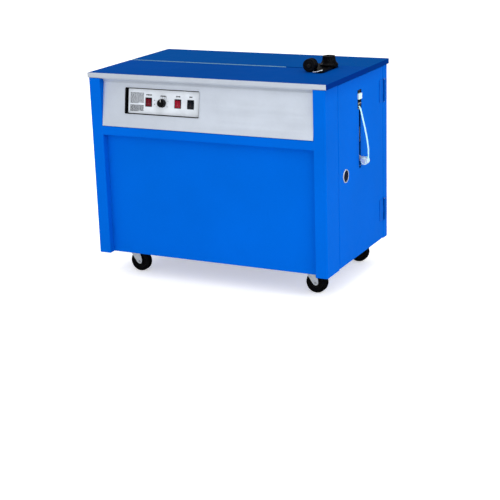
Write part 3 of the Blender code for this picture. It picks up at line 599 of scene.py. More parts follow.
def powder_coat(name, rgb, rough=0.36, specular=0.30, wear=0.35, dust=True, peel=1.0, tint=None):
    """Baked powder coat: orange peel, slow tone drift, rubbed edges, a little floor dust, and painted
    shade on the side walls under the table's edge.
    """
    n = Nodes(name)
    drift = n.noise(2.3, 3.0, 0.55)
    fine = n.noise(150.0, 3.0, 0.6)
    c = n.mix(n.span(drift, 0.3, 0.7), shade(rgb, 0.94), tint or shade(rgb, 1.07))
    c = n.mix(n.span(fine, 0.35, 0.75, 0.0, 0.05), c, shade(rgb, 1.9))
    edge = n.math('MULTIPLY', n.edges(0.0016, 0.03, 0.16), n.span(n.noise(38.0, 3.0), 0.42, 0.62,
                                                                 0.0, wear))
    c = n.mix(edge, c, shade((rgb[0] + 0.06, rgb[1] + 0.10, rgb[2] + 0.10), 1.15))
    r = n.span(n.noise(9.0, 4.0, 0.6), 0.25, 0.75, rough - 0.05, rough + 0.08)
    if dust:
        pos = n.node('ShaderNodeNewGeometry').outputs['Position']
        low = n.span(n.axis(2, pos), 0.08, 0.24, 1.0, 0.0)
        d = n.math('MULTIPLY', low, n.span(n.noise(26.0, 4.0, 0.65), 0.45, 0.75, 0.0, 0.10))
        c = n.mix(d, c, shade(rgb, 0.80))
        r = n.math('ADD', r, n.math('MULTIPLY', d, 1.4))
    # painted shade: a darker band on the side walls under the table's edge, standing in for the shade
    # the edge casts there
    under_table_painted_shade = n.span(n.axis(2), 0.672, 0.716, 0.0, 0.30)
    out_x = n.span(n.math('ABSOLUTE', n.axis(0, n.node('ShaderNodeTexCoord').outputs['Normal'])),
                   0.4, 0.8)
    c = n.mix(n.math('MULTIPLY', under_table_painted_shade, out_x), c, (rgb[0], rgb[1] * 0.40, rgb[2] * 0.62))
    peel_h = n.noise(330.0, 1.0, 0.4)
    b = n.bump(peel_h, 0.16 * peel, 0.0003)
    b = n.bump(n.noise(900.0, 1.0), 0.05 * peel, 0.0001, b)
    return n.out(c, r, 0.05, b, specular=specular, tint=(0.05, 0.35, 1.0))


CABINET = (0.0003, 0.117, 0.612)
BLUE = powder_coat("cabinet_powder_coat", CABINET, 0.42, 0.012)
BLUE_PAN = powder_coat("base_powder_coat", shade(CABINET, 0.80), 0.46, 0.08)
# painted shade: the hinge knuckles are painted darker than the cabinet blue, standing in for the shadow
# line along the hinge
KNUCKLE_PAINTED_SHADE = powder_coat("knuckle_coat_painted_shade", shade(CABINET, 0.70), 0.40, 0.04, wear=0.2,
                           dust=False)
BLUE_HINGE = powder_coat("hinge_powder_coat", shade(CABINET, 0.94), 0.40, 0.08, wear=0.5,
                         dust=False)


def table_paint(name, rgb, angle):
    """Darker table paint, polished by sliding packages: fine directional scuffs; faces not facing up
    carry painted shade.
    """
    n = Nodes(name)
    along = n.stretch((9.0, 420.0, 60.0), (0, 0, angle))
    across = n.stretch((300.0, 7.0, 60.0), (0, 0, angle * 0.5 - 0.12), (3.1, 1.7, 0.0))
    s1 = n.span(n.noise(1.0, 4.0, 0.65, along), 0.58, 0.78)
    s2 = n.span(n.noise(1.0, 4.0, 0.65, across), 0.62, 0.80)
    scuff = n.math('MAXIMUM', s1, n.math('MULTIPLY', s2, 0.7))
    patch = n.span(n.noise(5.0, 3.0), 0.40, 0.62)
    scuff = n.math('MULTIPLY', scuff, patch)
    c = n.mix(n.span(n.noise(1.9, 3.0), 0.3, 0.7), shade(rgb, 0.94), shade(rgb, 1.06))
    c = n.mix(n.math('MULTIPLY', scuff, 0.16), c, (0.01, 0.13, 0.40))
    e = n.math('MULTIPLY', n.edges(0.0014, 0.03, 0.16), n.span(n.noise(60.0, 3.0), 0.45, 0.62,
                                                              0.0, 0.55))
    c = n.mix(e, c, (0.10, 0.20, 0.42))
    # painted shade: faces that don't face up (the skirts and lips) are painted darker than the top, for
    # the lesser light they get
    up = n.axis(2, n.node('ShaderNodeTexCoord').outputs['Normal'])
    c = n.mix(n.span(up, 0.25, 0.80, 0.92, 0.0), c, (rgb[0], rgb[1] * 0.40, rgb[2] * 0.68))
    r = n.span(n.noise(12.0, 4.0), 0.25, 0.75, 0.46, 0.56)
    r = n.math('ADD', r, n.math('MULTIPLY', scuff, 0.10))
    b = n.bump(n.noise(330.0, 1.0, 0.4), 0.10, 0.0002)
    b = n.bump(scuff, 0.06, 0.00008, b)
    return n.out(c, r, 0.06, b, specular=0.003, tint=(0.02, 0.30, 1.0))


NAVY = table_paint("table_paint_front", (0.0003, 0.057, 0.290), 0.05)
NAVY_REAR = table_paint("table_paint_rear", (0.0003, 0.064, 0.278), -0.04)


def brushed(name, rgb, rough=0.38, metal=1.0, grain=(3.0, 500.0, 500.0), amount=1.0, stain=0.5,
            aniso=0.0, tint=0.08):
    """Metal with a brushed or drawn grain and slow staining."""
    n = Nodes(name)
    g = n.noise(1.0, 4.0, 0.7, n.stretch(grain))
    slow = n.noise(6.0, 4.0, 0.6)
    c = n.mix(n.span(g, 0.3, 0.7), shade(rgb, 1.0 - tint), shade(rgb, 1.0 + tint))
    c = n.mix(n.span(slow, 0.45, 0.75, 0.0, 0.22 * stain), c, shade(rgb, 0.72))
    r = n.span(g, 0.25, 0.75, rough - 0.07 * amount, rough + 0.09 * amount)
    r = n.math('ADD', r, n.span(slow, 0.4, 0.8, 0.0, 0.08 * stain))
    b = n.bump(g, 0.10 * amount, 0.0001)
    return n.out(c, r, metal, b, aniso=aniso)


def silver_paint(name, rgb):
    """Satin aluminium-coloured coat: fine flake sparkle, faint horizontal wipe marks."""
    n = Nodes(name)
    wipe = n.noise(1.0, 3.0, 0.6, n.stretch((2.2, 60.0, 60.0)))
    cloud = n.noise(14.0, 4.0, 0.6)
    flake = n.voronoi(1500.0, out='Color')
    fl = n.node('ShaderNodeSeparateColor')
    n.link(flake, fl.inputs[0])
    c = n.mix(n.span(cloud, 0.30, 0.72), shade(rgb, 0.935), shade(rgb, 1.03))
    c = n.mix(n.span(n.noise(3.2, 3.0, 0.6), 0.40, 0.75, 0.0, 0.30), c, shade(rgb, 0.86))
    c = n.mix(n.span(fl.outputs[0], 0.6, 1.0, 0.0, 0.30), c, shade(rgb, 1.18))
    c = n.mix(n.span(fl.outputs[1], 0.7, 1.0, 0.0, 0.22), c, shade(rgb, 0.75))
    r = n.span(wipe, 0.3, 0.7, 0.40, 0.48)
    b = n.bump(n.noise(420.0, 1.0), 0.10, 0.0002)
    return n.out(c, r, 0.45, b, specular=0.45)


SILVER = silver_paint("fascia_silver_coat", (0.60, 0.655, 0.745))


def zinc_plate(name, rgb=(0.80, 0.85, 0.89), rough=0.38):
    """Bright zinc plating: clouded passivation, faint warm and cool tints, stamped grain."""
    n = Nodes(name)
    cloud = n.noise(45.0, 4.0, 0.6, distort=0.6)
    cell = n.voronoi(120.0, feature='SMOOTH_F1')
    c = n.mix(n.span(cloud, 0.35, 0.65), shade(rgb, 0.86), (rgb[0] * 1.06, rgb[1] * 1.05, rgb[2]))
    c = n.mix(n.span(n.noise(18.0, 3.0), 0.55, 0.8, 0.0, 0.35), c,
              (rgb[0] * 0.92, rgb[1] * 0.95, rgb[2] * 1.10))
    e = n.math('MULTIPLY', n.edges(0.0008, 0.03, 0.14, 2), 0.30)
    c = n.mix(e, c, (0.85, 0.86, 0.87))
    r = n.span(cloud, 0.3, 0.7, rough - 0.08, rough + 0.10)
    b = n.bump(cell, 0.05, 0.0001)
    b = n.bump(n.noise(700.0, 2.0), 0.08, 0.0001, b)
    return n.out(c, r, 0.50, b, specular=0.5)


ZINC = zinc_plate("zinc_plating")
SCREW_STEEL = zinc_plate("screw_zinc", (0.60, 0.61, 0.62), 0.30)


def plastic(name, rgb, rough=0.42, grain=520.0, bump=0.18, specular=0.4, wear=0.25, sss=0.0,
            light=None, coat=0.0):
    """Moulded plastic: spark-eroded texture, slight sheen changes, edges a little polished."""
    n = Nodes(name)
    tex = n.noise(grain, 2.0, 0.55)
    slow = n.noise(22.0, 3.0, 0.55)
    c = n.mix(n.span(slow, 0.3, 0.7), shade(rgb, 0.90), shade(rgb, 1.10))
    lighter = light or tuple(min(1.0, v * 1.3 + 0.02) for v in rgb)
    c = n.mix(n.span(tex, 0.5, 0.8, 0.0, 0.18), c, lighter)
    e = n.math('MULTIPLY', n.edges(0.0009, 0.04, 0.18, 2), wear)
    c = n.mix(e, c, lighter)
    r = n.span(slow, 0.25, 0.75, rough - 0.05, rough + 0.07)
    r = n.math('SUBTRACT', r, n.math('MULTIPLY', e, 0.25))
    b = n.bump(tex, bump, 0.00025)
    return n.out(c, r, 0.0, b, specular=specular, sss=sss, sss_scale=0.002, coat=coat)


BLACK = plastic("black_moulding", (0.0055, 0.0058, 0.0068), 0.40)
BLACK_GLOSS = plastic("black_gloss_moulding", (0.0035, 0.0055, 0.0100), 0.26, 300.0, 0.05,
                      specular=0.16)
KNOB = plastic("knob_moulding", (0.0010, 0.0010, 0.0018), 0.34, 380.0, 0.08, specular=0.10,
               light=(0.006, 0.006, 0.008))
WHITE = plastic("white_nylon", (0.70, 0.87, 0.93), 0.36, 300.0, 0.08, 0.45, 0.2, 0.12)
OVERLAY = plastic("panel_overlay", (0.67, 0.72, 0.79), 0.36, 900.0, 0.05, 0.4, 0.0)
LEGEND = plastic("legend_ink", (0.014, 0.016, 0.024), 0.5, 900.0, 0.03, 0.3, 0.0)
LEGEND_GREY = plastic("legend_grey_ink", (0.020, 0.022, 0.030), 0.5, 900.0, 0.03, 0.3, 0.0)
MARK_SOFT = plastic("rocker_ink", (0.20, 0.11, 0.12), 0.45, 900.0, 0.03, 0.2, 0.0)
TRAY = plastic("tray_moulding", (0.0010, 0.0010, 0.0016), 0.50, 420.0, 0.10, 0.06, 0.1,
               light=(0.004, 0.004, 0.005))
MARK = plastic("white_ink", (0.82, 0.82, 0.80), 0.45, 900.0, 0.03, 0.3, 0.0)
RED_DARK = plastic("rocker_dark_red", (0.112, 0.0035, 0.012), 0.24, 240.0, 0.03, 0.16, 0.2, 0.10,
                   (0.30, 0.02, 0.03))
RED = plastic("rocker_red", (0.250, 0.003, 0.020), 0.24, 240.0, 0.03, 0.16, 0.2, 0.10,
              (0.55, 0.03, 0.05))
GREY_BOX = plastic("enclosure_grey", (0.42, 0.43, 0.43), 0.48, 320.0, 0.15)
REEL_GREY = plastic("reel_moulding", (0.055, 0.058, 0.062), 0.45, 260.0, 0.15)


def rubber(name, rgb, rough=0.72, grain=700.0, scuff=0.3, specular=0.3):
    """Rubber: matt, fine pitted skin, grey scuffs where it rolls or rubs."""
    n = Nodes(name)
    pit = n.noise(grain, 3.0, 0.6)
    rub = n.span(n.noise(60.0, 4.0, 0.7), 0.5, 0.72, 0.0, scuff)
    c = n.mix(n.span(n.noise(14.0, 3.0), 0.3, 0.7), shade(rgb, 0.85), shade(rgb, 1.2))
    c = n.mix(rub, c, (0.09, 0.09, 0.088))
    r = n.math('ADD', n.span(pit, 0.3, 0.7, rough - 0.08, rough + 0.08), n.math('MULTIPLY', rub, 0.2))
    return n.out(c, r, 0.0, n.bump(pit, 0.25, 0.0003), specular=specular)


TYRE = rubber("wheel_tyre", (0.0022, 0.0024, 0.0030), 0.60, 600.0, 0.03, 0.04)
WHEEL = plastic("wheel_hub_moulding", (0.0035, 0.0036, 0.0045), 0.42, 360.0, 0.12, 0.10, 0.08)
BELT = rubber("timing_belt", (0.012, 0.012, 0.013), 0.75, 900.0, 0.2)
FEED = rubber("feed_polyurethane", (0.10, 0.042, 0.018), 0.5, 500.0, 0.15)


def cast_iron(name, rgb=(0.055, 0.060, 0.066)):
    """Painted casting: sand texture, chips down to metal along edges, oil darkening."""
    n = Nodes(name)
    sand = n.noise(420.0, 4.0, 0.6)
    e = n.math('MULTIPLY', n.edges(0.0015, 0.03, 0.15), n.span(n.noise(85.0, 4.0, 0.7), 0.42, 0.58))
    oil = n.span(n.noise(17.0, 4.0, 0.6), 0.45, 0.7)
    c = n.mix(oil, rgb, shade(rgb, 0.55))
    c = n.mix(e, c, (0.40, 0.40, 0.39))
    r = n.span(oil, 0.0, 1.0, 0.55, 0.32)
    return n.out(c, r, n.span(e, 0.0, 1.0, 0.25, 1.0), n.bump(sand, 0.35, 0.0004), specular=0.4)


IRON = cast_iron("strap_head_casting")
STEEL = brushed("ground_steel", (0.56, 0.57, 0.58), 0.26, grain=(220.0, 220.0, 8.0), stain=0.7)
TRACK = brushed("track_steel", (0.26, 0.48, 0.62), 0.34, 0.45, grain=(4.0, 700.0, 700.0), stain=0.5)
ALU = brushed("pulley_aluminium", (0.74, 0.75, 0.76), 0.30, grain=(40.0, 40.0, 40.0), stain=0.3)
CHROME = brushed("lock_chrome", (0.84, 0.90, 0.95), 0.20, 0.45, grain=(60.0, 60.0, 60.0), amount=0.4,
                 stain=0.2, tint=0.02)
BRASS = brushed("terminal_brass", (0.72, 0.53, 0.24), 0.30, grain=(90.0, 90.0, 90.0))
COPPER = brushed("winding_copper", (0.62, 0.28, 0.14), 0.35, grain=(90.0, 90.0, 90.0))
GUIDE = brushed("guide_spring_steel", (0.84, 0.87, 0.92), 0.22, 0.50, grain=(30.0, 30.0, 400.0),
                amount=0.5, stain=0.2)
MOTOR = powder_coat("motor_enamel", (0.17, 0.185, 0.20), 0.42, 0.35, wear=0.3, dust=False, peel=1.4)
STAND = powder_coat("reel_stand_enamel", (0.20, 0.215, 0.235), 0.42, 0.35, wear=0.5, dust=False)
DARK_LOCK = plastic("lock_core", (0.002, 0.006, 0.030), 0.34, 300.0, 0.05, 0.14, 0.2)


def strap_plastic(name):
    """Polypropylene strap: milky white, embossed diamond knurl in its own coordinates."""
    n = Nodes(name, 'UV')
    a = n.wave(1.0, 'X', src=n.stretch((260.0, 260.0, 1.0), (0, 0, rad(32))))
    b = n.wave(1.0, 'X', src=n.stretch((260.0, 260.0, 1.0), (0, 0, rad(-32))))
    d = n.math('MAXIMUM', a, b)
    c = n.mix(n.span(d, 0.4, 1.0), (0.42, 0.78, 0.90), (0.60, 0.90, 0.97))
    r = n.span(n.noise(40.0, 3.0), 0.3, 0.7, 0.26, 0.38)
    return n.out(c, r, 0.0, n.bump(d, 0.30, 0.00025), specular=0.45, sss=0.15, sss_scale=0.001)


STRAP = strap_plastic("polypropylene_strap")


def coil_plastic(name):
    """Wound strap seen as layers: fine rings on the ends, strap-wide bands on the outside."""
    n = Nodes(name)
    x, y, z = (n.axis(k) for k in range(3))
    r2 = n.math('SQRT', n.math('ADD', n.math('MULTIPLY', x, x), n.math('MULTIPLY', y, y)))
    layer = n.math('FRACT', n.math('MULTIPLY', r2, 1400.0))
    side = n.math('ABSOLUTE', n.math('SUBTRACT', layer, 0.5))
    comb = n.noise(1.0, 3.0, 0.6, n.stretch((30.0, 30.0, 900.0)))
    c = n.mix(n.span(side, 0.30, 0.5), (0.78, 0.80, 0.82), (0.50, 0.53, 0.57))
    c = n.mix(n.span(comb, 0.45, 0.75, 0.0, 0.25), c, (0.60, 0.64, 0.68))
    b = n.bump(side, 0.4, 0.0002)
    return n.out(c, n.span(comb, 0.3, 0.7, 0.30, 0.44), 0.0, b, specular=0.4, sss=0.10,
                 sss_scale=0.002)


COIL = coil_plastic("wound_strap")

# ================================================================ cabinet
BOTTOM, TOP = 0.0872, 0.7155

pan_bm = pan([(-0.4235, -0.2700), (0.4235, -0.2700), (0.4235, 0.2517), (-0.4235, 0.2517)],
             0.0250, 0.0022, 0.0030)
base = placed(pan_bm, axes((1, 0, 0), (0, -1, 0), (0, 0, -1), (0, 0, 0.1035)))
CASTERS = {"front_left": (-0.360, -0.175), "front_right": (0.336, -0.175),
           "rear_left": (-0.360, 0.205), "rear_right": (0.336, 0.205)}
nuts = []
for px, py in CASTERS.values():
    for dx in (-0.024, 0.024):
        for dy in (-0.021, 0.021):
            nuts.append(screw(HEX, move(px + dx, py + dy, 0.1060), 0.85))
piece("base_pan_folded", [(base, BLUE_PAN)] + [(b, SCREW_STEEL) for b in nuts], "cabinet",
      "base_pan")

# front frame: two folded posts joined by the rail under the fascia
post_path = fillet([(0.401, -0.2545), (0.401, -0.280), (0.443, -0.280), (0.443, -0.1775),
                    (0.4262, -0.1775)], [0, 0.0022, 0.0030, 0.0022, 0], 5)
right_post = folded(post_path, 0.002, BOTTOM, 0.7165)
left_post = folded([(-x, y) for x, y in post_path], 0.002, BOTTOM, 0.7165)
rail_path = fillet([(-0.2545, 0.519), (-0.2799, 0.519), (-0.2799, 0.5495), (-0.2545, 0.5495)],
                   [0, 0.0030, 0.0030, 0], 5)
rail = placed(folded(rail_path, 0.002, -0.4030, 0.4030), axes((0, 1, 0), (0, 0, 1), (1, 0, 0)))
frame_bm = soften(joined(right_post, left_post, rail), 0.0004, 2, 60)
piece("front_frame_folded", [(frame_bm, BLUE)], "cabinet", "front_frame")

lower_path = fillet([(-0.2532, 0.5395), (-0.2532, BOTTOM + 0.001), (-0.2380, BOTTOM + 0.001)],
                    [0, 0.0030, 0], 5)
lower = placed(folded(lower_path, 0.002, -0.4395, 0.4395), axes((0, 1, 0), (0, 0, 1), (1, 0, 0)))
piece("front_lower_panel_folded", [(soften(lower, 0.0004, 2, 60), BLUE)], "cabinet",
      "front_lower_panel")

# fascia: sloped sheet, cove forward below the table, front lip up to the table's top
LIP_Z, COVE_R = 0.7178, 0.0175
f0 = (-0.281 + 0.00105, 0.5508 + 0.0004)
cove_z = LIP_Z - COVE_R * (1 + math.sin(TILT))
cove_y = f0[0] + (cove_z - f0[1]) * math.tan(TILT)
cc = (cove_y - COVE_R * math.cos(TILT), LIP_Z - COVE_R)
cove = [(cc[0] + COVE_R * math.cos(a), cc[1] + COVE_R * math.sin(a))
        for a in (-TILT + (math.pi / 2 + TILT) * k / 16 for k in range(17))]
YZ_AX = axes((0, 1, 0), (0, 0, 1), (1, 0, 0))
slope_path = [f0] + cove + [(-0.2790, LIP_Z)]
fascia = placed(folded(slope_path, 0.002, -0.3995, 0.3995), YZ_AX)
PX0, PX1, PU0, PU1 = -0.3112, -0.0198, 0.0466, 0.1382
hole = placed(prism(rect(PX0 - 0.0003, PX1 + 0.0003, PU0 - 0.0003, PU1 + 0.0003, 0.0058, 6),
                    -0.010, 0.010, 0.0), Matrix.Translation((0, -0.281, 0.5508))
              @ Matrix.Rotation(-TILT, 4, 'X') @ FASCIA_AX)
fascia = soften(carve(fascia, hole), 0.0003, 1, 60)
# the lip runs the table's full length; its ends turn back a little
lip_path = fillet([(-0.2700, 0.7180), (-0.2815, 0.7180), (-0.2815, 0.7349)], [0, 0.0026, 0], 5)
lip = placed(folded(lip_path, 0.0020, -0.4473, 0.4473), YZ_AX)
lip = soften(carve(lip, rbox((-0.3990, -0.2804, 0.7150), (0.3990, -0.2600, 0.7200), 0),
                   rbox((-0.46, -0.2804, 0.7150), (-0.4120, -0.26, 0.7200), 0),
                   rbox((0.4120, -0.2804, 0.7150), (0.46, -0.26, 0.7200), 0)), 0.0006, 3, 50)
lip2 = placed(folded([(-0.2793, LIP_Z), (-0.2815, LIP_Z)], 0.0019, -0.3985, 0.3985), YZ_AX)
piece("fascia_folded", [(fascia, SILVER), (lip, SILVER), (lip2, SILVER)], "cabinet",
      "fascia_panel")

# left side panel: pressed pan held by four screws
left = placed(pan(rect(-0.2305, 0.1745, 0.0890, TOP), 0.0180, 0.0020, 0.0030), LEFT_AX
              @ move(0, 0, 0.444))
left_parts = [(left, BLUE)]
for y in (-0.1560, 0.2120):
    for z in (0.1080, 0.6960):
        left_parts.append((screw(PAN, LEFT_AX @ move(-y, z, 0.4440), 1.0), SCREW_STEEL))
piece("left_side_panel_pressed", left_parts, "cabinet", "left_side_panel")

# rear panel: one folded sheet with the lid hinge's fixed knuckles
rear_path = fillet([(-0.4262, 0.2345), (-0.443, 0.2345), (-0.443, 0.2715), (0.443, 0.2715),
                    (0.443, 0.2345), (0.4262, 0.2345)], [0, 0.0022, 0.0030, 0.0030, 0.0022, 0], 5)
rear = folded(rear_path, 0.002, BOTTOM, 0.7325)
rear = carve(rear, rod((-0.320, 0.262, 0.160), (-0.320, 0.285, 0.160), 0.0086, 32, 0.0))
rear = soften(rear, 0.0004, 2, 60)
rear_parts = [(rear, BLUE)]
for hx in (-0.300, 0.300):
    for x0, x1 in ((hx - 0.044, hx - 0.0205), (hx + 0.0205, hx + 0.044)):
        rear_parts.append((rod((x0, 0.277, 0.712), (x1, 0.277, 0.712), 0.0040), BLUE_HINGE))
        rear_parts.append((rbox((x0, 0.2716, 0.7086), (x1, 0.2772, 0.7112), 0.0006), BLUE_HINGE))
        xs = x0 - 0.0012 if x0 < hx - 0.03 else x1
        rear_parts.append((rod((xs, 0.277, 0.712), (xs + 0.0012, 0.277, 0.712), 0.0026),
                           SCREW_STEEL))
for x in (-0.4180, -0.140, 0.140, 0.4180):
    for z in (0.1040, 0.6900):
        rear_parts.append((screw(PAN, REAR_AX @ move(-x, z, 0.2725), 1.0), SCREW_STEEL))
piece("rear_panel_folded", rear_parts, "cabinet", "rear_panel")

gland = turned([(0.0045, 0.0090), (0.0085, 0.0090), (0.0100, 0.0060), (0.0120, 0.0060),
                (0.0120, 0.0003), (0.0081, 0.0003), (0.0081, -0.0024), (0.0120, -0.0024),
                (0.0120, -0.0080), (0.0045, -0.0080)], 0.0006, 48, ring=True,
               shape=lambda a, r, z: r - (0.0007 * (0.5 + 0.5 * math.cos(6 * a))
                                          if r > 0.0105 else 0.0))
piece("cable_gland_moulded", [(placed(gland, move(-0.320, 0.2725, 0.160) @ TO_Y), BLACK)],
      "cabinet", "cable_gland")

# ================================================================ table
front_outline = [(-0.4475, -0.2802), (0.4475, -0.2802), (0.4475, 0.0845), (0.2481, 0.0845),
                 (0.2481, 0.0037), (-0.4475, 0.0037)]
tp = placed(pan(front_outline, 0.0180, 0.0020, 0.0017, 4), move(0, 0, 0.735))
tp = carve(tp, rbox((-0.4453, -0.2900, 0.7000), (0.4453, -0.2770, 0.7193), 0),
           prism(rect(0.2650, 0.3250, -0.0005, 0.0345, 0.002), 0.7200, 0.7450, 0))
piece("table_front_pressed", [(tp, NAVY)], "cabinet", "table_front_plate")

rear_outline = [(-0.4475, 0.0163), (0.2478, 0.0163), (0.2478, 0.0848), (0.4475, 0.0848),
                (0.4475, 0.2825), (-0.4475, 0.2825)]
tr = placed(pan(rear_outline, 0.0180, 0.0020, 0.0017, 4), move(0, 0, 0.735))
tr_parts = [(tr, NAVY_REAR)]
for hx in (-0.300, 0.300):
    tr_parts.append((rbox((hx - 0.020, 0.2750, 0.7118), (hx + 0.020, 0.2790, 0.7335), 0.0006),
                     BLUE_HINGE))
    tr_parts.append((rod((hx - 0.020, 0.277, 0.712), (hx + 0.020, 0.277, 0.712), 0.0040),
                     BLUE_HINGE))
piece("table_rear_pressed", tr_parts, "table_lid", "table_rear_plate")

# strap track: shallow steel channel let into the slot
TRK = [(0.0041, 0.7178), (0.0041, 0.7350), (0.0056, 0.7350), (0.0056, 0.7322), (0.0144, 0.7322),
       (0.0144, 0.7350), (0.0159, 0.7350), (0.0159, 0.7178), (0.0144, 0.7178), (0.0144, 0.7303),
       (0.0056, 0.7303), (0.0056, 0.7178)]
trk = placed(prism(TRK, -0.4472, 0.1716, 0.0), YZ_AX)
trk_parts = [(soften(trk, 0.0003, 2, 60), TRACK)]
for x in (-0.420, -0.215, -0.010, 0.150):
    trk_parts.append((screw(PAN, move(x, 0.0100, 0.7315), 0.80), SCREW_STEEL))
piece("strap_track_channel", trk_parts, "cabinet", "strap_track")

# ================================================================ control panel
UP = 0.0906
F = SLOPE @ FASCIA_AX                    # u across, v up the slope, w outward; y inward = -w
flange = ring_loft(PX0, PX1, PU0, PU1, 0.0055,
                   [(0.0026, 0.0003), (0.0026, 0.0007), (0.0021, 0.0010), (-0.0002, 0.0010),
                    (-0.0008, 0.0008), (-0.0008, 0.0004), (0.0, 0.0003)], 6)
tray = ring_loft(PX0, PX1, PU0, PU1, 0.0055,
                 [(-0.0004, 0.0003), (-0.0007, 0.0010), (-0.0014, 0.0010), (-0.0019, 0.0002),
                  (-0.0020, -0.0165), (0.0, -0.0165), (0.0, 0.0002)], 6)
tray_floor = prism(rect(PX0 + 0.0001, PX1 - 0.0001, PU0 + 0.0001, PU1 - 0.0001, 0.005), -0.0165,
                   -0.0149, 0.0)
SWITCHES = {"power_switch": (-0.2240, RED_DARK, "rocker_dark_red"),
            "motor_switch": (-0.1100, RED, "rocker_red"),
            "feed_switch": (-0.0605, BLACK_GLOSS, "rocker_black")}
KX, KU = -0.1707, 0.0896
cutters = [rbox((x - 0.0114, UP - 0.0142, -0.030), (x + 0.0114, UP + 0.0142, 0.0), 0)
           for x, _, _ in SWITCHES.values()]
cutters.append(prism(circle(KX, KU, 0.0038, 24), -0.030, 0.0, 0))
tray_floor = carve(tray_floor, joined(*[c.copy() for c in cutters]))
piece("control_tray_moulded", [(joined(tray, tray_floor), TRAY), (flange, SILVER)], "cabinet",
      "control_tray", at=F)
face = carve(prism(rect(PX0 + 0.0062, PX1 - 0.0021, PU0 + 0.0034, PU1 - 0.0040, 0.0034),
                   -0.0145, -0.0135, 0.0003, 1), joined(*cutters))
plate_parts = [(face, OVERLAY)]
for x in (PX0 + 0.0105, PX1 - 0.0075):
    for u in (PU0 + 0.0075, PU1 - 0.0075):
        plate_parts.append((screw(PAN, move(x, u, -0.0135), 0.50), SCREW_STEEL))
piece("control_plate_overlay", plate_parts, "cabinet", "control_plate", at=F)

# printed marks: generic bars for captions, ticks round the dial
marks, greys = [], []


def ink(x0, x1, u0, u1, store, r=0.0003):
    store.append(prism(rect(x0, x1, u0, u1, r, 2), -0.01348, -0.01338, 0.0))


def words(xc, u, widths, h=0.0042, gap=0.0010, store=None):
    total = sum(widths) + gap * (len(widths) - 1)
    x = xc - total / 2
    for w in widths:
        ink(x, x + w, u - h / 2, u + h / 2, marks if store is None else store)
        x += w + gap


words(-0.2235, 0.1153, (0.0042, 0.0060, 0.0052, 0.0036))
words(-0.1687, 0.1138, (0.0046, 0.0064, 0.0056))
words(-0.1095, 0.1150, (0.0050, 0.0030, 0.0056))
words(-0.0605, 0.1160, (0.0058, 0.0044))
ink(-0.1572, -0.1556, 0.1060, 0.1146, marks)
ink(-0.1600, -0.1556, 0.1132, 0.1146, marks)
for u in (0.0980, 0.0846):
    ink(-0.2026, -0.1994, u - 0.0014, u + 0.0014, marks)
seed = 7
for u_top, rows, tall in ((0.1205, 13, 0.0009), (0.0785, 8, 0.0011)):
    for k in range(rows):
        u = u_top - k * 0.0029
        x = -0.2965
        end = -0.2440 if k < rows - 1 else -0.2640
        while x < end - 0.002:
            seed = (seed * 1103515245 + 12345) % 2147483648
            w = 0.0024 + 0.0058 * (seed / 2147483648.0)
            w = min(w, end - x)
            ink(x, x + w, u - tall, u + tall, greys, 0.0002)
            x += w + 0.0011
for k in range(11):
    a = rad(-120 + 24 * k)
    tick = prism(rect(-0.0004, 0.0004, 0.0164, 0.0187 if k % 5 else 0.0198, 0.0), -0.01348,
                 -0.01338, 0.0)
    marks.append(placed(tick, move(KX, KU, 0) @ Matrix.Rotation(-a, 4, 'Z')))
piece("control_legend", [(joined(*marks), LEGEND), (joined(*greys), LEGEND_GREY)], "cabinet",
      at=F, weighted=False)


def digits(name, numbers, centre, radius, size, at, body, start, step, height, mat):
    """Dial numbers, flat on their plate."""
    parts = []
    for k, text in enumerate(numbers):
        cu = bpy.data.curves.new("digit", 'FONT')
        cu.body = text
        cu.size = size
        cu.align_x, cu.align_y = 'CENTER', 'CENTER'
        cu.extrude = 0.00004
        cu.resolution_u = 3
        ob = bpy.data.objects.new("digit", cu)
        bpy.context.scene.collection.objects.link(ob)
        bpy.context.view_layer.update()
        dg = bpy.context.evaluated_depsgraph_get()
        me = bpy.data.meshes.new_from_object(ob.evaluated_get(dg))
        bm = bm_from(me)
        bpy.data.objects.remove(ob, do_unlink=True)
        bpy.data.curves.remove(cu)
        bpy.data.meshes.remove(me)
        a = rad(start - step * k)
        parts.append(placed(bm, move(centre[0] + radius * math.cos(a),
                                     centre[1] + radius * math.sin(a), height)))
    return piece(name, [(joined(*parts), mat)], body, at=at, weighted=False)


digits("dial_numbers", ("0", "2", "4", "6", "8", "10"), (KX, KU), 0.0232, 0.0050, F, "cabinet",
       210, 48, -0.01342, LEGEND)

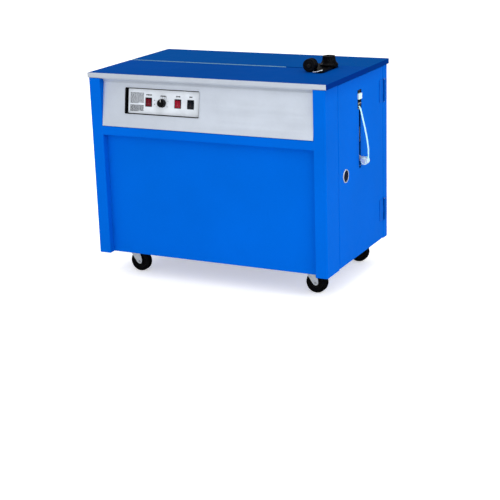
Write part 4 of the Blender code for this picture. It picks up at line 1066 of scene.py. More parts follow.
RIM = [(0.0, -0.0132), (0.0, -0.0121), (-0.0005, -0.0113), (-0.0010, -0.0111), (-0.0016, -0.0112),
       (-0.0021, -0.0119), (-0.0022, -0.0128), (-0.0022, -0.0270), (-0.0015, -0.0270),
       (-0.0015, -0.0132)]
for name, (x, mat, slot_name) in SWITCHES.items():
    hx, hu = 0.01275, 0.0155
    rim = ring_loft(x - hx, x + hx, UP - hu, UP + hu, 0.0016, RIM, 4)
    back = rbox((x - 0.0100, UP - 0.0131, -0.0330), (x + 0.0100, UP + 0.0131, -0.0268), 0.0006)
    parts = [(joined(rim, back), BLACK_GLOSS)]
    for dx in (-0.0050, 0.0050):
        for du in (-0.0075, 0.0, 0.0075):
            parts.append((rbox((x + dx - 0.0024, UP + du - 0.0004, -0.0405),
                               (x + dx + 0.0024, UP + du + 0.0004, -0.0325), 0.0002), BRASS))
    piece(name + "_housing_moulded", parts, "cabinet", name + "_housing", at=F)

    # rocker with a dished face; its own frame tilts with the pivot
    dish = []
    for k in range(13):
        t = -1 + 2 * k / 12
        dish.append((-0.0040 - 0.0018 * abs(t) ** 1.7, -0.0124 * t))
    outline = dish + [(0.0030, -0.0118), (0.0085, -0.0030), (0.0085, 0.0030), (0.0030, 0.0118)]
    body = prism(outline, -0.0101, 0.0101, 0.0007, 3)
    body = placed(body, axes((0, 1, 0), (0, 0, 1), (1, 0, 0)))
    ribs = []
    for s in (-1, 1):
        for k in range(3):
            z = s * (0.0062 + 0.0013 * k)
            ribs.append(rbox((-0.0060, -0.0040 - 0.0018 * (abs(z) / 0.0124) ** 1.7 - 0.00022,
                              z - 0.00025), (0.0060, -0.0030, z + 0.00025), 0.0001, 1))
    one = rbox((-0.0003, -0.00440, 0.0024), (0.0003, -0.0040, 0.0046), 0.0001, 1)
    ring = placed(lathe([(0.0012, 0.00012), (0.0012, 0), (0.0008, 0), (0.0008, 0.00012)], 24,
                        ring=True), axes((1, 0, 0), (0, 0, 1), (0, -1, 0), (0, -0.00425, -0.0036)))
    at = SLOPE @ move(x, 0.0150, UP) @ turn(10, 'X')
    rider = name.replace("_switch", "_rocker")
    piece(name + "_rocker_moulded", [(joined(body, *ribs), mat), (joined(one, ring), MARK_SOFT)],
          rider, name + "_rocker", at=at)


def flutes(count, depth, z0, z1, fade=0.002):
    """Radius change that cuts round flutes between two heights."""
    def shape(a, r, z):
        k = min(1.0, max(0.0, (z - z0) / fade)) * min(1.0, max(0.0, (z1 - z) / fade))
        return r - depth * k * (0.5 - 0.5 * math.cos(count * a)) ** 1.5
    return shape


# feed length knob on the panel
prof = [(0.0, 0.0136), (0.0100, 0.0136), (0.0116, 0.0140), (0.0127, 0.0139), (0.0136, 0.0132)]
prof += [(0.0138 + 0.0010 * (0.0130 - z) / 0.0130, z)
         for z in (0.0126, 0.0110, 0.0090, 0.0070, 0.0050, 0.0034, 0.0026)]
prof += [(0.0147, 0.0018), (0.0148, 0.0012), (0.0148, 0.0003), (0.0144, 0.0), (0.0032, 0.0),
         (0.0032, -0.0156), (0.0028, -0.0160), (0.0, -0.0160)]
knob = lathe(prof, 120, shape=flutes(18, 0.0010, 0.0022, 0.0138, 0.0014))
line = rbox((-0.0007, 0.0040, 0.0138), (0.0007, 0.0120, 0.01415), 0.0001, 1)
piece("feed_length_knob_moulded", [(knob, KNOB), (line, MARK)], "length_knob",
      "feed_length_knob", at=SLOPE @ move(KX, 0.0128, KU) @ turn(90, 'X'), sharp=40)

# control box behind the fascia
cb = joined(rbox((-0.300, -0.205, 0.6200), (-0.080, -0.1300, 0.7320), 0.0022, 3),
            rbox((-0.2995, -0.1296, 0.6205), (-0.0805, -0.1250, 0.7315), 0.0018, 3))
cb_parts = [(cb, GREY_BOX)]
for x in (-0.290, -0.090):
    for z in (0.630, 0.722):
        cb_parts.append((screw(PAN, REAR_AX @ move(-x, z, -0.1252), 0.75), SCREW_STEEL))
for x in (-0.250, -0.205, -0.160):
    cb_parts.append((placed(turned([(0.0, 0.012), (0.006, 0.012), (0.0085, 0.009), (0.0085, 0.004),
                                    (0.0105, 0.004), (0.0105, 0.0), (0.0, 0.0)], 0.0004, 24),
                            move(x, -0.1675, 0.6202) @ turn(180, 'X')), BLACK))
piece("control_box_enclosure", cb_parts, "cabinet", "control_box")

# ================================================================ side door
door = placed(pan(rect(-0.1745, 0.2305, 0.0890, TOP), 0.0180, 0.0020, 0.0030), DOOR_AX
              @ move(0, 0, 0.444))
door = carve(door, rbox((0.4300, -0.0060, 0.6040), (0.4500, 0.0300, 0.6700), 0),
             placed(prism(rect(0.0055, 0.0205, 0.3990, 0.6060, 0.0030, 4), 0.4350, 0.4480, 0.0),
                    DOOR_AX),
             rod((0.4300, -0.118, 0.4005), (0.4500, -0.118, 0.4005), 0.0184, 40, 0.0))
door_parts = [(door, BLUE)]
# stiffening channel inside, round the strap opening
for y0, y1 in ((-0.1000, -0.0800), (0.1300, 0.1500)):
    door_parts.append((rbox((0.4330, y0, 0.1300), (0.4418, y1, 0.6700), 0.0010), BLUE_PAN))
piece("side_door_pressed", door_parts, "door", "side_door")

LY, LZ = -0.118, 0.4005
LOCK_AT = HOME @ move(0.444, LY, LZ) @ TO_X
ring_bm = turned([(0.0204, 0.0030), (0.0219, 0.0030), (0.0227, 0.0022), (0.0230, 0.0010),
                  (0.0230, 0.0003), (0.0180, 0.0003), (0.0180, -0.0170), (0.0070, -0.0170),
                  (0.0070, -0.0045), (0.0144, -0.0045), (0.0144, 0.0006), (0.0197, 0.0006),
                  (0.0197, 0.0024)], 0.0004, 64, ring=True)
bezel = turned([(0.0146, 0.0020), (0.0160, 0.0023), (0.0196, 0.0023), (0.0196, 0.0005),
                (0.0146, 0.0005)], 0.0003, 64, ring=True)
nut = carve(prism(circle(0, 0, 0.0205, 6), -0.0085, -0.0045, 0.0006),
            lathe([(0, 0.01), (0.0178, 0.01), (0.0178, -0.02), (0, -0.02)], 40))
piece("lock_housing_chromed", [(ring_bm, CHROME), (bezel, DARK_LOCK), (nut, SCREW_STEEL)], "door",
      "lock_housing", at=LOCK_AT)
core = turned([(0.0, 0.0020), (0.0100, 0.0020), (0.0118, 0.0026), (0.0134, 0.0024),
               (0.0140, 0.0016), (0.0140, -0.0040), (0.0065, -0.0040), (0.0065, -0.0215),
               (0.0, -0.0215)], 0.0004, 48)
core = carve(core, rbox((-0.0011, -0.0046, 0.0004), (0.0011, 0.0046, 0.0060), 0),
             lathe([(0, 0.006), (0.0021, 0.006), (0.0021, 0.0004), (0, 0.0004)], 24))
cam_bm = prism(fillet([(-0.0100, -0.0060), (0.0660, -0.0045), (0.0660, 0.0045),
                       (-0.0100, 0.0060)], 0.0035, 4, closed=True), -0.0225, -0.0195, 0.0004)
cam_bm = placed(cam_bm, axes((-1, 0, 0), (0, -1, 0), (0, 0, 1)))
nut2 = screw(HEX, move(0, 0, -0.0222) @ turn(180, 'X'), 0.001)
nut2.free()
piece("lock_cylinder_core", [(core, DARK_LOCK), (cam_bm, ZINC)], "lock",
      "lock_cylinder", at=LOCK_AT)

# hinges: round-cornered leaves, countersunk screws, three-part knuckle on a pin
for pos, zc in (("upper", 0.630), ("lower", 0.198)):
    z0, z1, m = zc - 0.039, zc + 0.039, 0.0135

    def csk(y, z):
        return screw(PAN, DOOR_AX @ move(y, z, 0.4453), 0.60)

    fl = placed(prism(rect(0.2368, 0.2660, z0, z1, 0.0040), 0.4443, 0.4456, 0.0005), DOOR_AX)
    parts = [(fl, BLUE_HINGE)]
    for a, b in ((z0, zc - m), (zc + m, z1)):
        parts.append((rod((0.449, 0.2315, a), (0.449, 0.2315, b), 0.0045, 32), KNUCKLE_PAINTED_SHADE))
        parts.append((rbox((0.4444, 0.2320, a + 0.0003), (0.4462, 0.2380, b - 0.0003), 0.0004),
                      BLUE_HINGE))
    parts.append((rod((0.449, 0.2315, z0 - 0.0010), (0.449, 0.2315, z1 + 0.0010), 0.0018, 20),
                  SCREW_STEEL))
    for zz in (zc - 0.026, zc, zc + 0.026):
        parts.append((csk(0.2560, zz), SCREW_STEEL))
    piece(pos + "_hinge_fixed", parts, "cabinet", pos + "_hinge_fixed_leaf")
    dl = placed(prism(rect(0.1950, 0.2262, z0, z1, 0.0040), 0.4443, 0.4463, 0.0005), DOOR_AX)
    knuckle = lathe([(0.0024, m - 0.0003), (0.0041, m - 0.0003), (0.0045, m - 0.0007),
                     (0.0045, -m + 0.0007), (0.0041, -m + 0.0003), (0.0024, -m + 0.0003)], 32,
                    ring=True)
    parts = [(dl, BLUE_HINGE), (placed(knuckle, move(0.449, 0.2315, zc)), KNUCKLE_PAINTED_SHADE),
             (rbox((0.4444, 0.2250, zc - m + 0.0005), (0.4462, 0.2288, zc + m - 0.0005), 0.0004),
              BLUE_HINGE)]
    for zz in (zc - 0.026, zc, zc + 0.026):
        parts.append((csk(0.2070, zz), SCREW_STEEL))
    piece(pos + "_hinge_moving", parts, "door", pos + "_hinge_door_leaf")

# ================================================================ strap inlet and dancer
inlet = placed(prism(rect(-0.0160, 0.0400, 0.5985, 0.6790, 0.0040), 0.4385, 0.4417, 0.0004),
               DOOR_AX)
block = rbox((0.4400, -0.0020, 0.6375), (0.4490, 0.0245, 0.6580), 0.0022, 4)
inlet = carve(inlet, rbox((0.4300, 0.0050, 0.6070), (0.4600, 0.0210, 0.6215), 0),
              rbox((0.4300, -0.0040, 0.6597), (0.4600, 0.0280, 0.6703), 0),
              rbox((0.4300, 0.0020, 0.6285), (0.4600, 0.0240, 0.6357), 0))
lips = [rbox((0.4392, 0.0030, 0.6225), (0.4450, 0.0230, 0.6250), 0.0008),
        rbox((0.4392, 0.0030, 0.6045), (0.4440, 0.0230, 0.6068), 0.0008)]
inlet_parts = [(block, WHITE), (joined(*lips), GREY_BOX), (inlet, BLACK),
               (rod((0.4410, 0.0030, 0.6650), (0.4410, 0.0210, 0.6650), 0.0022, 24), IRON),
               (rbox((0.4395, 0.0012, 0.6612), (0.4436, 0.0030, 0.6688), 0.0006), BLACK),
               (rbox((0.4395, 0.0210, 0.6612), (0.4436, 0.0228, 0.6688), 0.0006), BLACK),
               (rod((0.4424, 0.0050, 0.6165), (0.4424, 0.0205, 0.6165), 0.0021, 24), STEEL)]
for y in (-0.0115, 0.0355):
    for z in (0.6080, 0.6700):
        inlet_parts.append((screw(PAN, DOOR_AX @ move(y, z, 0.4414), 0.55), SCREW_STEEL))
piece("strap_inlet_nylon", inlet_parts, "door", "strap_inlet_guide")

DX, DZ, DY = 0.3045, 0.5130, 0.013
bracket = [(rbox((0.4390, 0.0290, 0.4700), (0.4417, 0.0600, 0.5560), 0.0009), ZINC),
           (placed(prism(fillet([(0.2905, 0.4990), (0.2970, 0.4930), (0.4392, 0.4860),
                                 (0.4392, 0.5400), (0.2970, 0.5330), (0.2905, 0.5270)], 0.006, 5,
                                closed=True), -0.0320, -0.0290, 0.0005),
                   axes((1, 0, 0), (0, 0, 1), (0, -1, 0))), ZINC),
           (rod((DX, 0.0062, DZ), (DX, 0.0300, DZ), 0.0050, 32), STEEL),
           (screw(HEX, axes((1, 0, 0), (0, 0, -1), (0, 1, 0), (DX, 0.0316, DZ)), 0.9), SCREW_STEEL)]
for z in (0.4820, 0.5440):
    bracket.append((screw(HEX, axes((0, 1, 0), (0, 0, -1), (-1, 0, 0), (0.4392, 0.0490, z)), 0.8),
                    SCREW_STEEL))
piece("dancer_bracket_pressed", bracket, "door", "dancer_bracket")

DROP, LEN = rad(28.8), 0.1805
ARM = HOME @ move(DX, 0, DZ) @ Matrix.Rotation(DROP, 4, 'Y')
hub = lathe([(0.0054, 0.0186), (0.0104, 0.0186), (0.0110, 0.0180), (0.0110, 0.0006),
             (0.0104, 0.0), (0.0054, 0.0)], 40, ring=True)
arm_parts = [
    (placed(prism(fillet([(0.0060, -0.0075), (0.0350, -0.0050), (0.1655, -0.0050),
                          (0.1655, 0.0050), (0.0350, 0.0050), (0.0060, 0.0075)], 0.002, 4,
                         closed=True), -0.0155, -0.0105, 0.0006),
            axes((1, 0, 0), (0, 0, 1), (0, -1, 0))), ZINC),
    (placed(hub, move(0, 0.0092, 0) @ TO_Y), ZINC)]
fork_path = fillet([(0.1860, 0.00125), (0.1655, 0.00125), (0.1655, 0.02475), (0.1860, 0.02475)],
                   [0, 0.0028, 0.0028, 0], 5)
fork = folded(fork_path, 0.0025, -0.0060, 0.0060)
arm_parts.append((soften(fork, 0.0005, 2, 60), ZINC))
arm_parts.append((rod((LEN, 0.0002, 0), (LEN, 0.0258, 0), 0.0025, 24), STEEL))
for y in (0.0004, 0.0232):
    arm_parts.append((placed(lathe([(0.0, 0.0022), (0.0034, 0.0022), (0.0040, 0.0016),
                                    (0.0040, 0.0), (0.0, 0.0)], 24),
                             move(LEN, y, 0) @ TO_Y), SCREW_STEEL))
piece("dancer_arm_welded", arm_parts, "dancer", "dancer_arm", at=ARM)

QX, QZ = DX + LEN * math.cos(DROP), DZ - LEN * math.sin(DROP)
roller = turned([(0.01283, 0.0100), (0.01283, 0.0080), (0.0092, 0.0068), (0.0092, -0.0068),
                 (0.01283, -0.0080), (0.01283, -0.0100), (0.0090, -0.0100), (0.0082, -0.0092),
                 (0.0058, -0.0092), (0.0052, -0.0100), (0.0029, -0.0100), (0.0029, 0.0100),
                 (0.0052, 0.0100), (0.0058, 0.0092), (0.0082, 0.0092), (0.0090, 0.0100)],
                0.0004, 56, ring=True)
spokes = [(rbox((0.0054, -0.0006, s * 0.0094 - 0.0003), (0.0086, 0.0006, s * 0.0094 + 0.0003),
                0.0001, 1), turn(60 * k, 'Z')) for k in range(6) for s in (-1, 1)]
roller = joined(roller, *[placed(b, m) for b, m in spokes])
piece("dancer_roller_nylon", [(roller, WHITE)], "dancer_wheel", "dancer_roller",
      at=HOME @ move(QX, DY, QZ) @ TO_Y)

# ================================================================ free strap on the door
HALF_W, HALF_T = 0.0060, 0.00035


def ribbon(path, cross=3):
    """Flat strap along an (x, z) path, straight across Y, with UVs in metres."""
    bm = bmesh.new()
    uv = bm.loops.layers.uv.new("UVMap")
    n = len(path)
    rows, length = [], 0.0
    for i, p in enumerate(path):
        a, b = path[max(i - 1, 0)], path[min(i + 1, n - 1)]
        d = Vector((b[0] - a[0], b[1] - a[1])).normalized()
        nx, nz = -d.y, d.x
        if i:
            length += math.dist(path[i - 1], p)
        row = []
        for side in (1, -1):
            ys = [HALF_W * (-1 + 2 * k / cross) for k in range(cross + 1)]
            for y in (ys if side == 1 else ys[::-1]):
                t = HALF_T * (1.0 if abs(y) < HALF_W * 0.99 else 0.55)
                row.append((bm.verts.new((p[0] + side * nx * t, DY + y, p[1] + side * nz * t)),
                            y, length))
        rows.append(row)
    m = len(rows[0])
    for r0, r1 in zip(rows, rows[1:]):
        for i in range(m):
            j = (i + 1) % m
            f = bm.faces.new((r0[i][0], r0[j][0], r1[j][0], r1[i][0]))
            for lp, q in zip(f.loops, (r0[i], r0[j], r1[j], r1[i])):
                lp[uv].uv = (q[2], q[1])
    for row in (rows[0], rows[-1]):
        bm.faces.new([q[0] for q in row])
    bmesh.ops.recalc_face_normals(bm, faces=bm.faces)
    return bm


bow_pts = smooth([(0.4330, 0.6240), (0.4400, 0.6150), (0.4468, 0.6030), (0.4545, 0.5720),
                  (0.4628, 0.5370), (0.4700, 0.5000), (0.4738, 0.4720), (0.4746, 0.4540),
                  (0.4742, 0.4420)], 8)
WR = 0.0092 + 0.0009
wrap = [(QX + WR * math.cos(rad(a)), QZ + WR * math.sin(rad(a))) for a in range(2, -67, -4)]
tail_pts = smooth([wrap[-1], (0.4560, QZ - 0.0134), (0.4440, QZ - 0.0178),
                   (0.4320, QZ - 0.0215)], 6)
ribbon_all = bow_pts + wrap[1:]
strap = piece("strap_bow", [(ribbon(ribbon_all), STRAP)], None, weighted=False,
              sharp=50)
tail = piece("strap_tail", [(ribbon([wrap[-2]] + tail_pts), STRAP)], None,
             weighted=False, sharp=50)
for run in (strap, tail):
    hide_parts("strap_loop")
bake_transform(strap)
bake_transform(tail)
# ================================================================ strap outlet on the table
TKX, TKY = 0.323, 0.037
GRX, GRY, GRZ, GRR = 0.298, -0.062, 0.7582, 0.0222
foot = prism(fillet([(0.2575, -0.0085), (0.3515, -0.0085), (0.3515, 0.0690), (0.2575, 0.0690)],
                    [0.008, 0.004, 0.024, 0.012], 8, closed=True), 0.7353, 0.7430, 0.0016, 3)
shelf = prism(rect(0.2855, 0.3250, -0.0460, -0.0060, 0.0030, 4), 0.7353, 0.7430, 0.0012, 2)
arm = prism(fillet([(0.3190, -0.0860), (0.3515, -0.0860), (0.3515, 0.0300), (0.3190, 0.0300)],
                   [0.010, 0.018, 0.004, 0.002], 6, closed=True), 0.7353, 0.7430, 0.0016, 3)
collar = turned([(0.0, 0.7440), (0.0294, 0.7440), (0.0300, 0.7434), (0.0302, 0.7426),
                 (0.0, 0.7420)], 0.0003, 72)
collar = placed(collar, move(TKX, TKY, 0))
stand_pts = fillet([(0.2865, 0.7400), (0.3095, 0.7400), (0.3095, 0.7590), (0.2980, 0.7700),
                    (0.2865, 0.7590)], [0, 0, 0.009, 0.006, 0.009], 6, closed=True)
upright = placed(prism(stand_pts, 0.0390, 0.0445, 0.0006), axes((1, 0, 0), (0, 0, 1), (0, -1, 0)))
plate2 = rbox((0.2655, 0.0270, 0.6600), (0.3245, 0.0330, 0.7370), 0.0010)
stem_hole = placed(lathe([(0.0, 0.76), (0.0045, 0.76), (0.0045, 0.7385), (0, 0.7385)], 24),
                   move(TKX, TKY, 0))
foot = carve(foot, rbox((0.2790, 0.0025, 0.7300), (0.2850, 0.0175, 0.7600), 0), stem_hole.copy())
collar = carve(collar, stem_hole)
base_parts = [(joined(foot, shelf, arm, collar, upright), KNOB), (plate2, ZINC),
              (rod((GRX, -0.0767, GRZ), (GRX, -0.0425, GRZ), 0.0035, 28), STEEL),
              (rod((0.26975, 0.0010, 0.680), (0.26975, 0.0285, 0.680), 0.0030, 24), STEEL),
              (rod((0.30225, 0.0010, 0.680), (0.30225, 0.0285, 0.680), 0.0040, 24), STEEL)]
for x, y in ((0.2645, 0.0615), (0.2640, -0.0020), (0.3455, -0.0620), (0.3455, -0.0150)):
    base_parts.append((screw(SOCKET, move(x, y, 0.7430), 0.60), BLACK_GLOSS))
# sprung wire that leads the strap off the roller
lip_curve = smooth([(0.3178, -0.0838, 0.7378), (0.3186, -0.0880, 0.7390), (0.3260, -0.0882, 0.7400),
                    (0.3340, -0.0866, 0.7410), (0.3410, -0.0800, 0.7430), (0.3440, -0.0740, 0.7444)], 8)
crescent = tube(lip_curve, 0.0021, 12, 0.8)
base_parts.append((crescent, GUIDE))
base_parts.append((rod((0.3440, -0.0740, 0.7425), (0.3440, -0.0740, 0.7452), 0.0027, 20), GUIDE))
piece("outlet_base_moulded", base_parts, "cabinet", "outlet_base")

SEAT = plastic("bearing_seal_rubber", (0.0060, 0.0062, 0.0070), 0.40, 400.0, 0.06, 0.2, 0.1)
gr = turned([(0.0212, 0.0140), (GRR, 0.0130), (GRR, 0.0090), (GRR - 0.0006, 0.0084),
             (GRR - 0.0006, -0.0084), (GRR, -0.0090), (GRR, -0.0130), (0.0212, -0.0140),
             (0.0165, -0.0140), (0.0155, -0.0122), (0.0095, -0.0122), (0.0085, -0.0140),
             (0.0039, -0.0140), (0.0039, 0.0140), (0.0085, 0.0140), (0.0095, 0.0122),
             (0.0155, 0.0122), (0.0165, 0.0140)], 0.0004, 80, ring=True,
            shape=lambda a, r, z: r - (0.00035 * (0.5 + 0.5 * math.cos(60 * a))
                                       if r > 0.0213 and abs(z) < 0.0086 else 0.0))
seat = lathe([(0.0155, 0.01405), (0.0155, 0.0137), (0.0150, 0.0135), (0.0145, 0.0137),
              (0.0145, 0.01405), (0.0150, 0.0142)], 64, ring=True)
piece("outlet_roller_moulded",
      [(gr, KNOB), (seat.copy(), SEAT), (placed(seat, turn(180, 'X')), SEAT)], "guide_roller",
      "outlet_roller", at=HOME @ move(GRX, GRY, GRZ) @ TO_Y)
# axle screw in front of the roller belongs to the base
piece("outlet_axle_screw",
      [(screw(SOCKET, axes((1, 0, 0), (0, 0, 1), (0, -1, 0), (GRX, -0.0765, GRZ)), 0.85),
        SEAT),
       (placed(lathe([(0.0036, 0.0008), (0.0066, 0.0008), (0.0070, 0.0004), (0.0066, 0.0),
                      (0.0036, 0.0)], 36, ring=True),
               axes((1, 0, 0), (0, 0, 1), (0, -1, 0), (GRX, -0.0762, GRZ))), SEAT)],
      "cabinet")

# tension dial: skirted, fluted grip
sk = [(0.0, 0.0309), (0.0140, 0.0309), (0.0170, 0.0316), (0.0200, 0.0315), (0.0211, 0.0307),
      (0.0217, 0.0296), (0.0220, 0.0265), (0.0223, 0.0230), (0.0226, 0.0195), (0.0232, 0.0168),
      (0.0241, 0.0142), (0.0252, 0.0116), (0.0268, 0.0090), (0.0288, 0.0066), (0.0307, 0.0047),
      (0.0319, 0.0036), (0.0322, 0.0028), (0.0322, 0.0006), (0.0318, 0.0), (0.0040, 0.0),
      (0.0040, -0.0046), (0.0036, -0.0050), (0.0, -0.0050)]
tk = lathe(sk, 144, shape=flutes(18, 0.0016, 0.0150, 0.0306, 0.0030))
tk_parts = [(tk, KNOB)]
for k in range(20):
    a = rad(18 * k)
    long = k % 2 == 0
    t = rbox((0.0280 if long else 0.0290, -0.00025, -0.00012), (0.0303, 0.00025, 0.00012), 0.0)
    slope = math.atan2(0.0047 - 0.0090, 0.0307 - 0.0268)
    t = placed(t, Matrix.Rotation(a, 4, 'Z') @ move(0.0288, 0, 0.0067)
               @ Matrix.Rotation(-slope, 4, 'Y') @ move(-0.0288, 0, 0))
    tk_parts.append((t, LEGEND_GREY))
tk_parts.append((rbox((-0.0007, 0.0060, 0.0307), (0.0007, 0.0185, 0.03165), 0.0001, 1), LEGEND_GREY))
piece("tension_dial_moulded", tk_parts, "tension_dial", "tension_knob",
      at=HOME @ move(TKX, TKY, 0.7443), sharp=38)

piece("feed_roller_tyred",
      [(turned([(0.0196, 0.0080), (0.0200, 0.0076), (0.0200, -0.0076), (0.0196, -0.0080),
                (0.0120, -0.0080), (0.0120, 0.0080)], 0.0003, 80, ring=True,
               shape=lambda a, r, z: r - (0.0003 * (0.5 + 0.5 * math.cos(48 * a))
                                          if r > 0.0198 else 0.0)), FEED),
       (turned([(0.0121, 0.0076), (0.0121, -0.0076), (0.0044, -0.0080), (0.0044, 0.0080)],
               0.0004, 48, ring=True), ALU)],
      "feed_wheel", "feed_roller", at=HOME @ move(0.30225, 0.010, 0.680) @ TO_Y)
piece("pinch_roller_ground",
      [(turned([(0.0120, 0.0080), (0.0120, -0.0080), (0.0034, -0.0080), (0.0034, 0.0080)],
               0.0006, 56, ring=True), STEEL)],
      "pinch_wheel", "pinch_roller", at=HOME @ move(0.26975, 0.010, 0.680) @ TO_Y)

# ================================================================ strap head under the slot
CY, CZ, MY, MZ = 0.010, 0.633, 0.110, 0.640
GRIPS = {"left_gripper": (0.1760, 0.1940, "left_grip"), "press_block": (0.1990, 0.2210, "press"),
         "right_gripper": (0.2260, 0.2440, "right_grip")}
block = rbox((0.1665, -0.0080, 0.6760), (0.2515, 0.0280, 0.7160), 0.0016, 3)
block = carve(block, *[rbox((x0 - 0.0005, 0.0050, 0.6700), (x1 + 0.0005, 0.0150, 0.7200), 0)
                       for x0, x1, _ in GRIPS.values()])
cheeks = [carve(rbox((x0, -0.0080, 0.6100), (x0 + 0.0050, 0.0280, 0.6790), 0.0010),
                rod((x0 - 0.01, CY, CZ), (x0 + 0.02, CY, CZ), 0.0086, 40, 0.0))
          for x0 in (0.1665, 0.2465)]
beam = rbox((0.1500, -0.2480, 0.7010), (0.1720, 0.2690, 0.7155), 0.0014, 3)
arm2 = rbox((0.1258, -0.0080, 0.6960), (0.1600, 0.1650, 0.7040), 0.0012)
side = carve(rbox((0.1258, -0.0080, 0.5850), (0.1308, 0.1650, 0.7000), 0.0010),
             rod((0.110, CY, CZ), (0.150, CY, CZ), 0.0100, 36, 0.0),
             rod((0.110, MY, MZ), (0.150, MY, MZ), 0.0130, 36, 0.0))
head_parts = [(joined(block, *cheeks, beam, arm2, side), IRON)]
for x in (0.1690, 0.2490):
    bush = lathe([(0.0083, 0.0034), (0.0115, 0.0034), (0.0120, 0.0028), (0.0120, -0.0028),
                  (0.0115, -0.0034), (0.0083, -0.0034)], 36, ring=True)
    head_parts.append((placed(bush, move(x, CY, CZ) @ TO_X), BRASS))
for y in (-0.2300, -0.0700, 0.0900, 0.2500):
    head_parts.append((screw(HEX, axes((1, 0, 0), (0, -1, 0), (0, 0, -1), (0.161, y, 0.7012)), 0.8),
                       SCREW_STEEL))
for y, z in ((0.070, 0.600), (0.150, 0.600), (0.070, 0.6800), (0.150, 0.6800)):
    head_parts.append((screw(HEX, axes((0, 1, 0), (0, 0, 1), (1, 0, 0), (0.1307, y, z)), 0.62),
                       SCREW_STEEL))
piece("head_frame_cast", head_parts, "cabinet", "head_frame")

for g, (x0, x1, rider) in GRIPS.items():
    bar = rbox((x0, 0.0055, 0.6530), (x1, 0.0145, 0.7220), 0.0005)
    if g == "press_block":
        bar = carve(bar, rbox((x0 - 0.01, 0.0085, 0.7140), (x1 + 0.01, 0.0115, 0.7300), 0))
    else:
        bar = carve(bar, *[rbox((x0 + 0.0025 + k * 0.0038, 0.0, 0.7208),
                                (x0 + 0.0040 + k * 0.0038, 0.02, 0.7300), 0) for k in range(4)])
    bar = carve(bar, rbox((x0 + 0.004, 0.0, 0.6600), (x1 - 0.004, 0.0062, 0.6900), 0.0))
    piece(g + "_ground", [(bar, STEEL)], rider, g)


def pulley(r_flange, r_land, r_hub, x0, x1, x2, x3, teeth, steps):
    """Flanged timing pulley, its toothed land between the flanges."""
    return lathe([(r_hub, x3), (r_flange - 0.0006, x3), (r_flange, x3 - 0.0005),
                  (r_land + 0.0012, x2), (r_land, x2 - 0.0001), (r_land, x1 + 0.0001),
                  (r_land + 0.0012, x1), (r_flange, x0 + 0.0005), (r_flange - 0.0006, x0),
                  (r_hub, x0)], steps, ring=True,
                 shape=lambda a, r, z: r - (0.0009 * (math.cos(teeth * a) > 0.1)
                                            if abs(r - r_land) < 0.0002 else 0.0))


cs = turned([(0.0, 0.2560), (0.0080, 0.2560), (0.0080, 0.1335), (0.0, 0.1335)], 0.0007, 48)
cam_parts = [(placed(cs, TO_X), STEEL),
             (placed(pulley(0.0340, 0.0310, 0.0081, 0.1380, 0.1392, 0.1508, 0.1520, 38, 304),
                     TO_X), ALU)]
for (x0, x1, _), phase in zip(GRIPS.values(), (90, 210, 330)):
    a = rad(phase)
    disc = turned([(0.0, 0.0), (0.0140, 0.0), (0.0140, x1 - x0 - 0.0040), (0.0, x1 - x0 - 0.0040)],
                  0.0006, 56)
    cam_parts.append((placed(disc, move(x0 + 0.0020, 0.0030 * math.cos(a), 0.0030 * math.sin(a))
                             @ TO_X), STEEL))
piece("camshaft_ground", cam_parts, "cams", "camshaft",
      at=HOME @ move(0, CY, CZ))

ms = turned([(0.0, 0.1560), (0.0050, 0.1560), (0.0050, 0.1150), (0.0, 0.1150)], 0.0006, 32)
piece("motor_pulley_machined",
      [(placed(ms, TO_X), STEEL),
       (placed(pulley(0.0185, 0.0155, 0.0049, 0.1380, 0.1392, 0.1508, 0.1520, 19, 228), TO_X), ALU)],
      "motor_shaft", "motor_pulley", at=HOME @ move(0, MY, MZ))

fins = 36
mprof = [(0.0056, 0.1255), (0.0260, 0.1255), (0.0280, 0.1240), (0.0380, 0.1240), (0.0400, 0.1255),
         (0.0430, 0.1225), (0.0450, 0.1180), (0.0450, 0.1040), (0.0443, 0.1032)]
mprof += [(0.0450, z) for z in (0.1024, 0.0980, 0.0200, 0.0150)]
mprof += [(0.0443, 0.0140), (0.0450, 0.0130), (0.0450, -0.0010), (0.0430, -0.0060),
          (0.0400, -0.0098), (0.0060, -0.0100), (0.0, -0.0100), (0.0, 0.1100), (0.0056, 0.1100)]
mot = lathe(mprof, fins * 8, ring=True,
            shape=lambda a, r, z: r - (0.0030 * (math.cos(fins * a) > -0.25)
                                       if 0.0190 < z < 0.0990 and r > 0.0440 else 0.0))
jb = rbox((0.0250, 0.0900, 0.6760), (0.0750, 0.1300, 0.6900), 0.0016)
jl = rbox((0.0245, 0.0895, 0.6905), (0.0755, 0.1305, 0.6939), 0.0012)
mot_parts = [(placed(mot, move(0, MY, MZ) @ TO_X), MOTOR), (joined(jb, jl), MOTOR)]
for x in (0.029, 0.071):
    for y in (0.094, 0.126):
        mot_parts.append((screw(PAN, move(x, y, 0.6930), 0.45), SCREW_STEEL))
piece("drive_motor_finned", mot_parts, "cabinet", "drive_motor")


def belt_loop(r0, r1, extra, n=40, teeth=0.0):
    d = Vector((MY - CY, MZ - CZ))
    b = math.atan2(d.y, d.x)
    lean = math.acos((r0 - r1) / d.length)
    r0, r1 = r0 + extra, r1 + extra
    pts = []
    for k in range(n + 1):
        a = b + lean + (2 * math.pi - 2 * lean) * k / n
        pts.append((r0 * math.cos(a), r0 * math.sin(a)))
    for k in range(n + 1):
        a = b - lean + 2 * lean * k / n
        pts.append((d.x + r1 * math.cos(a), d.y + r1 * math.sin(a)))
    return pts


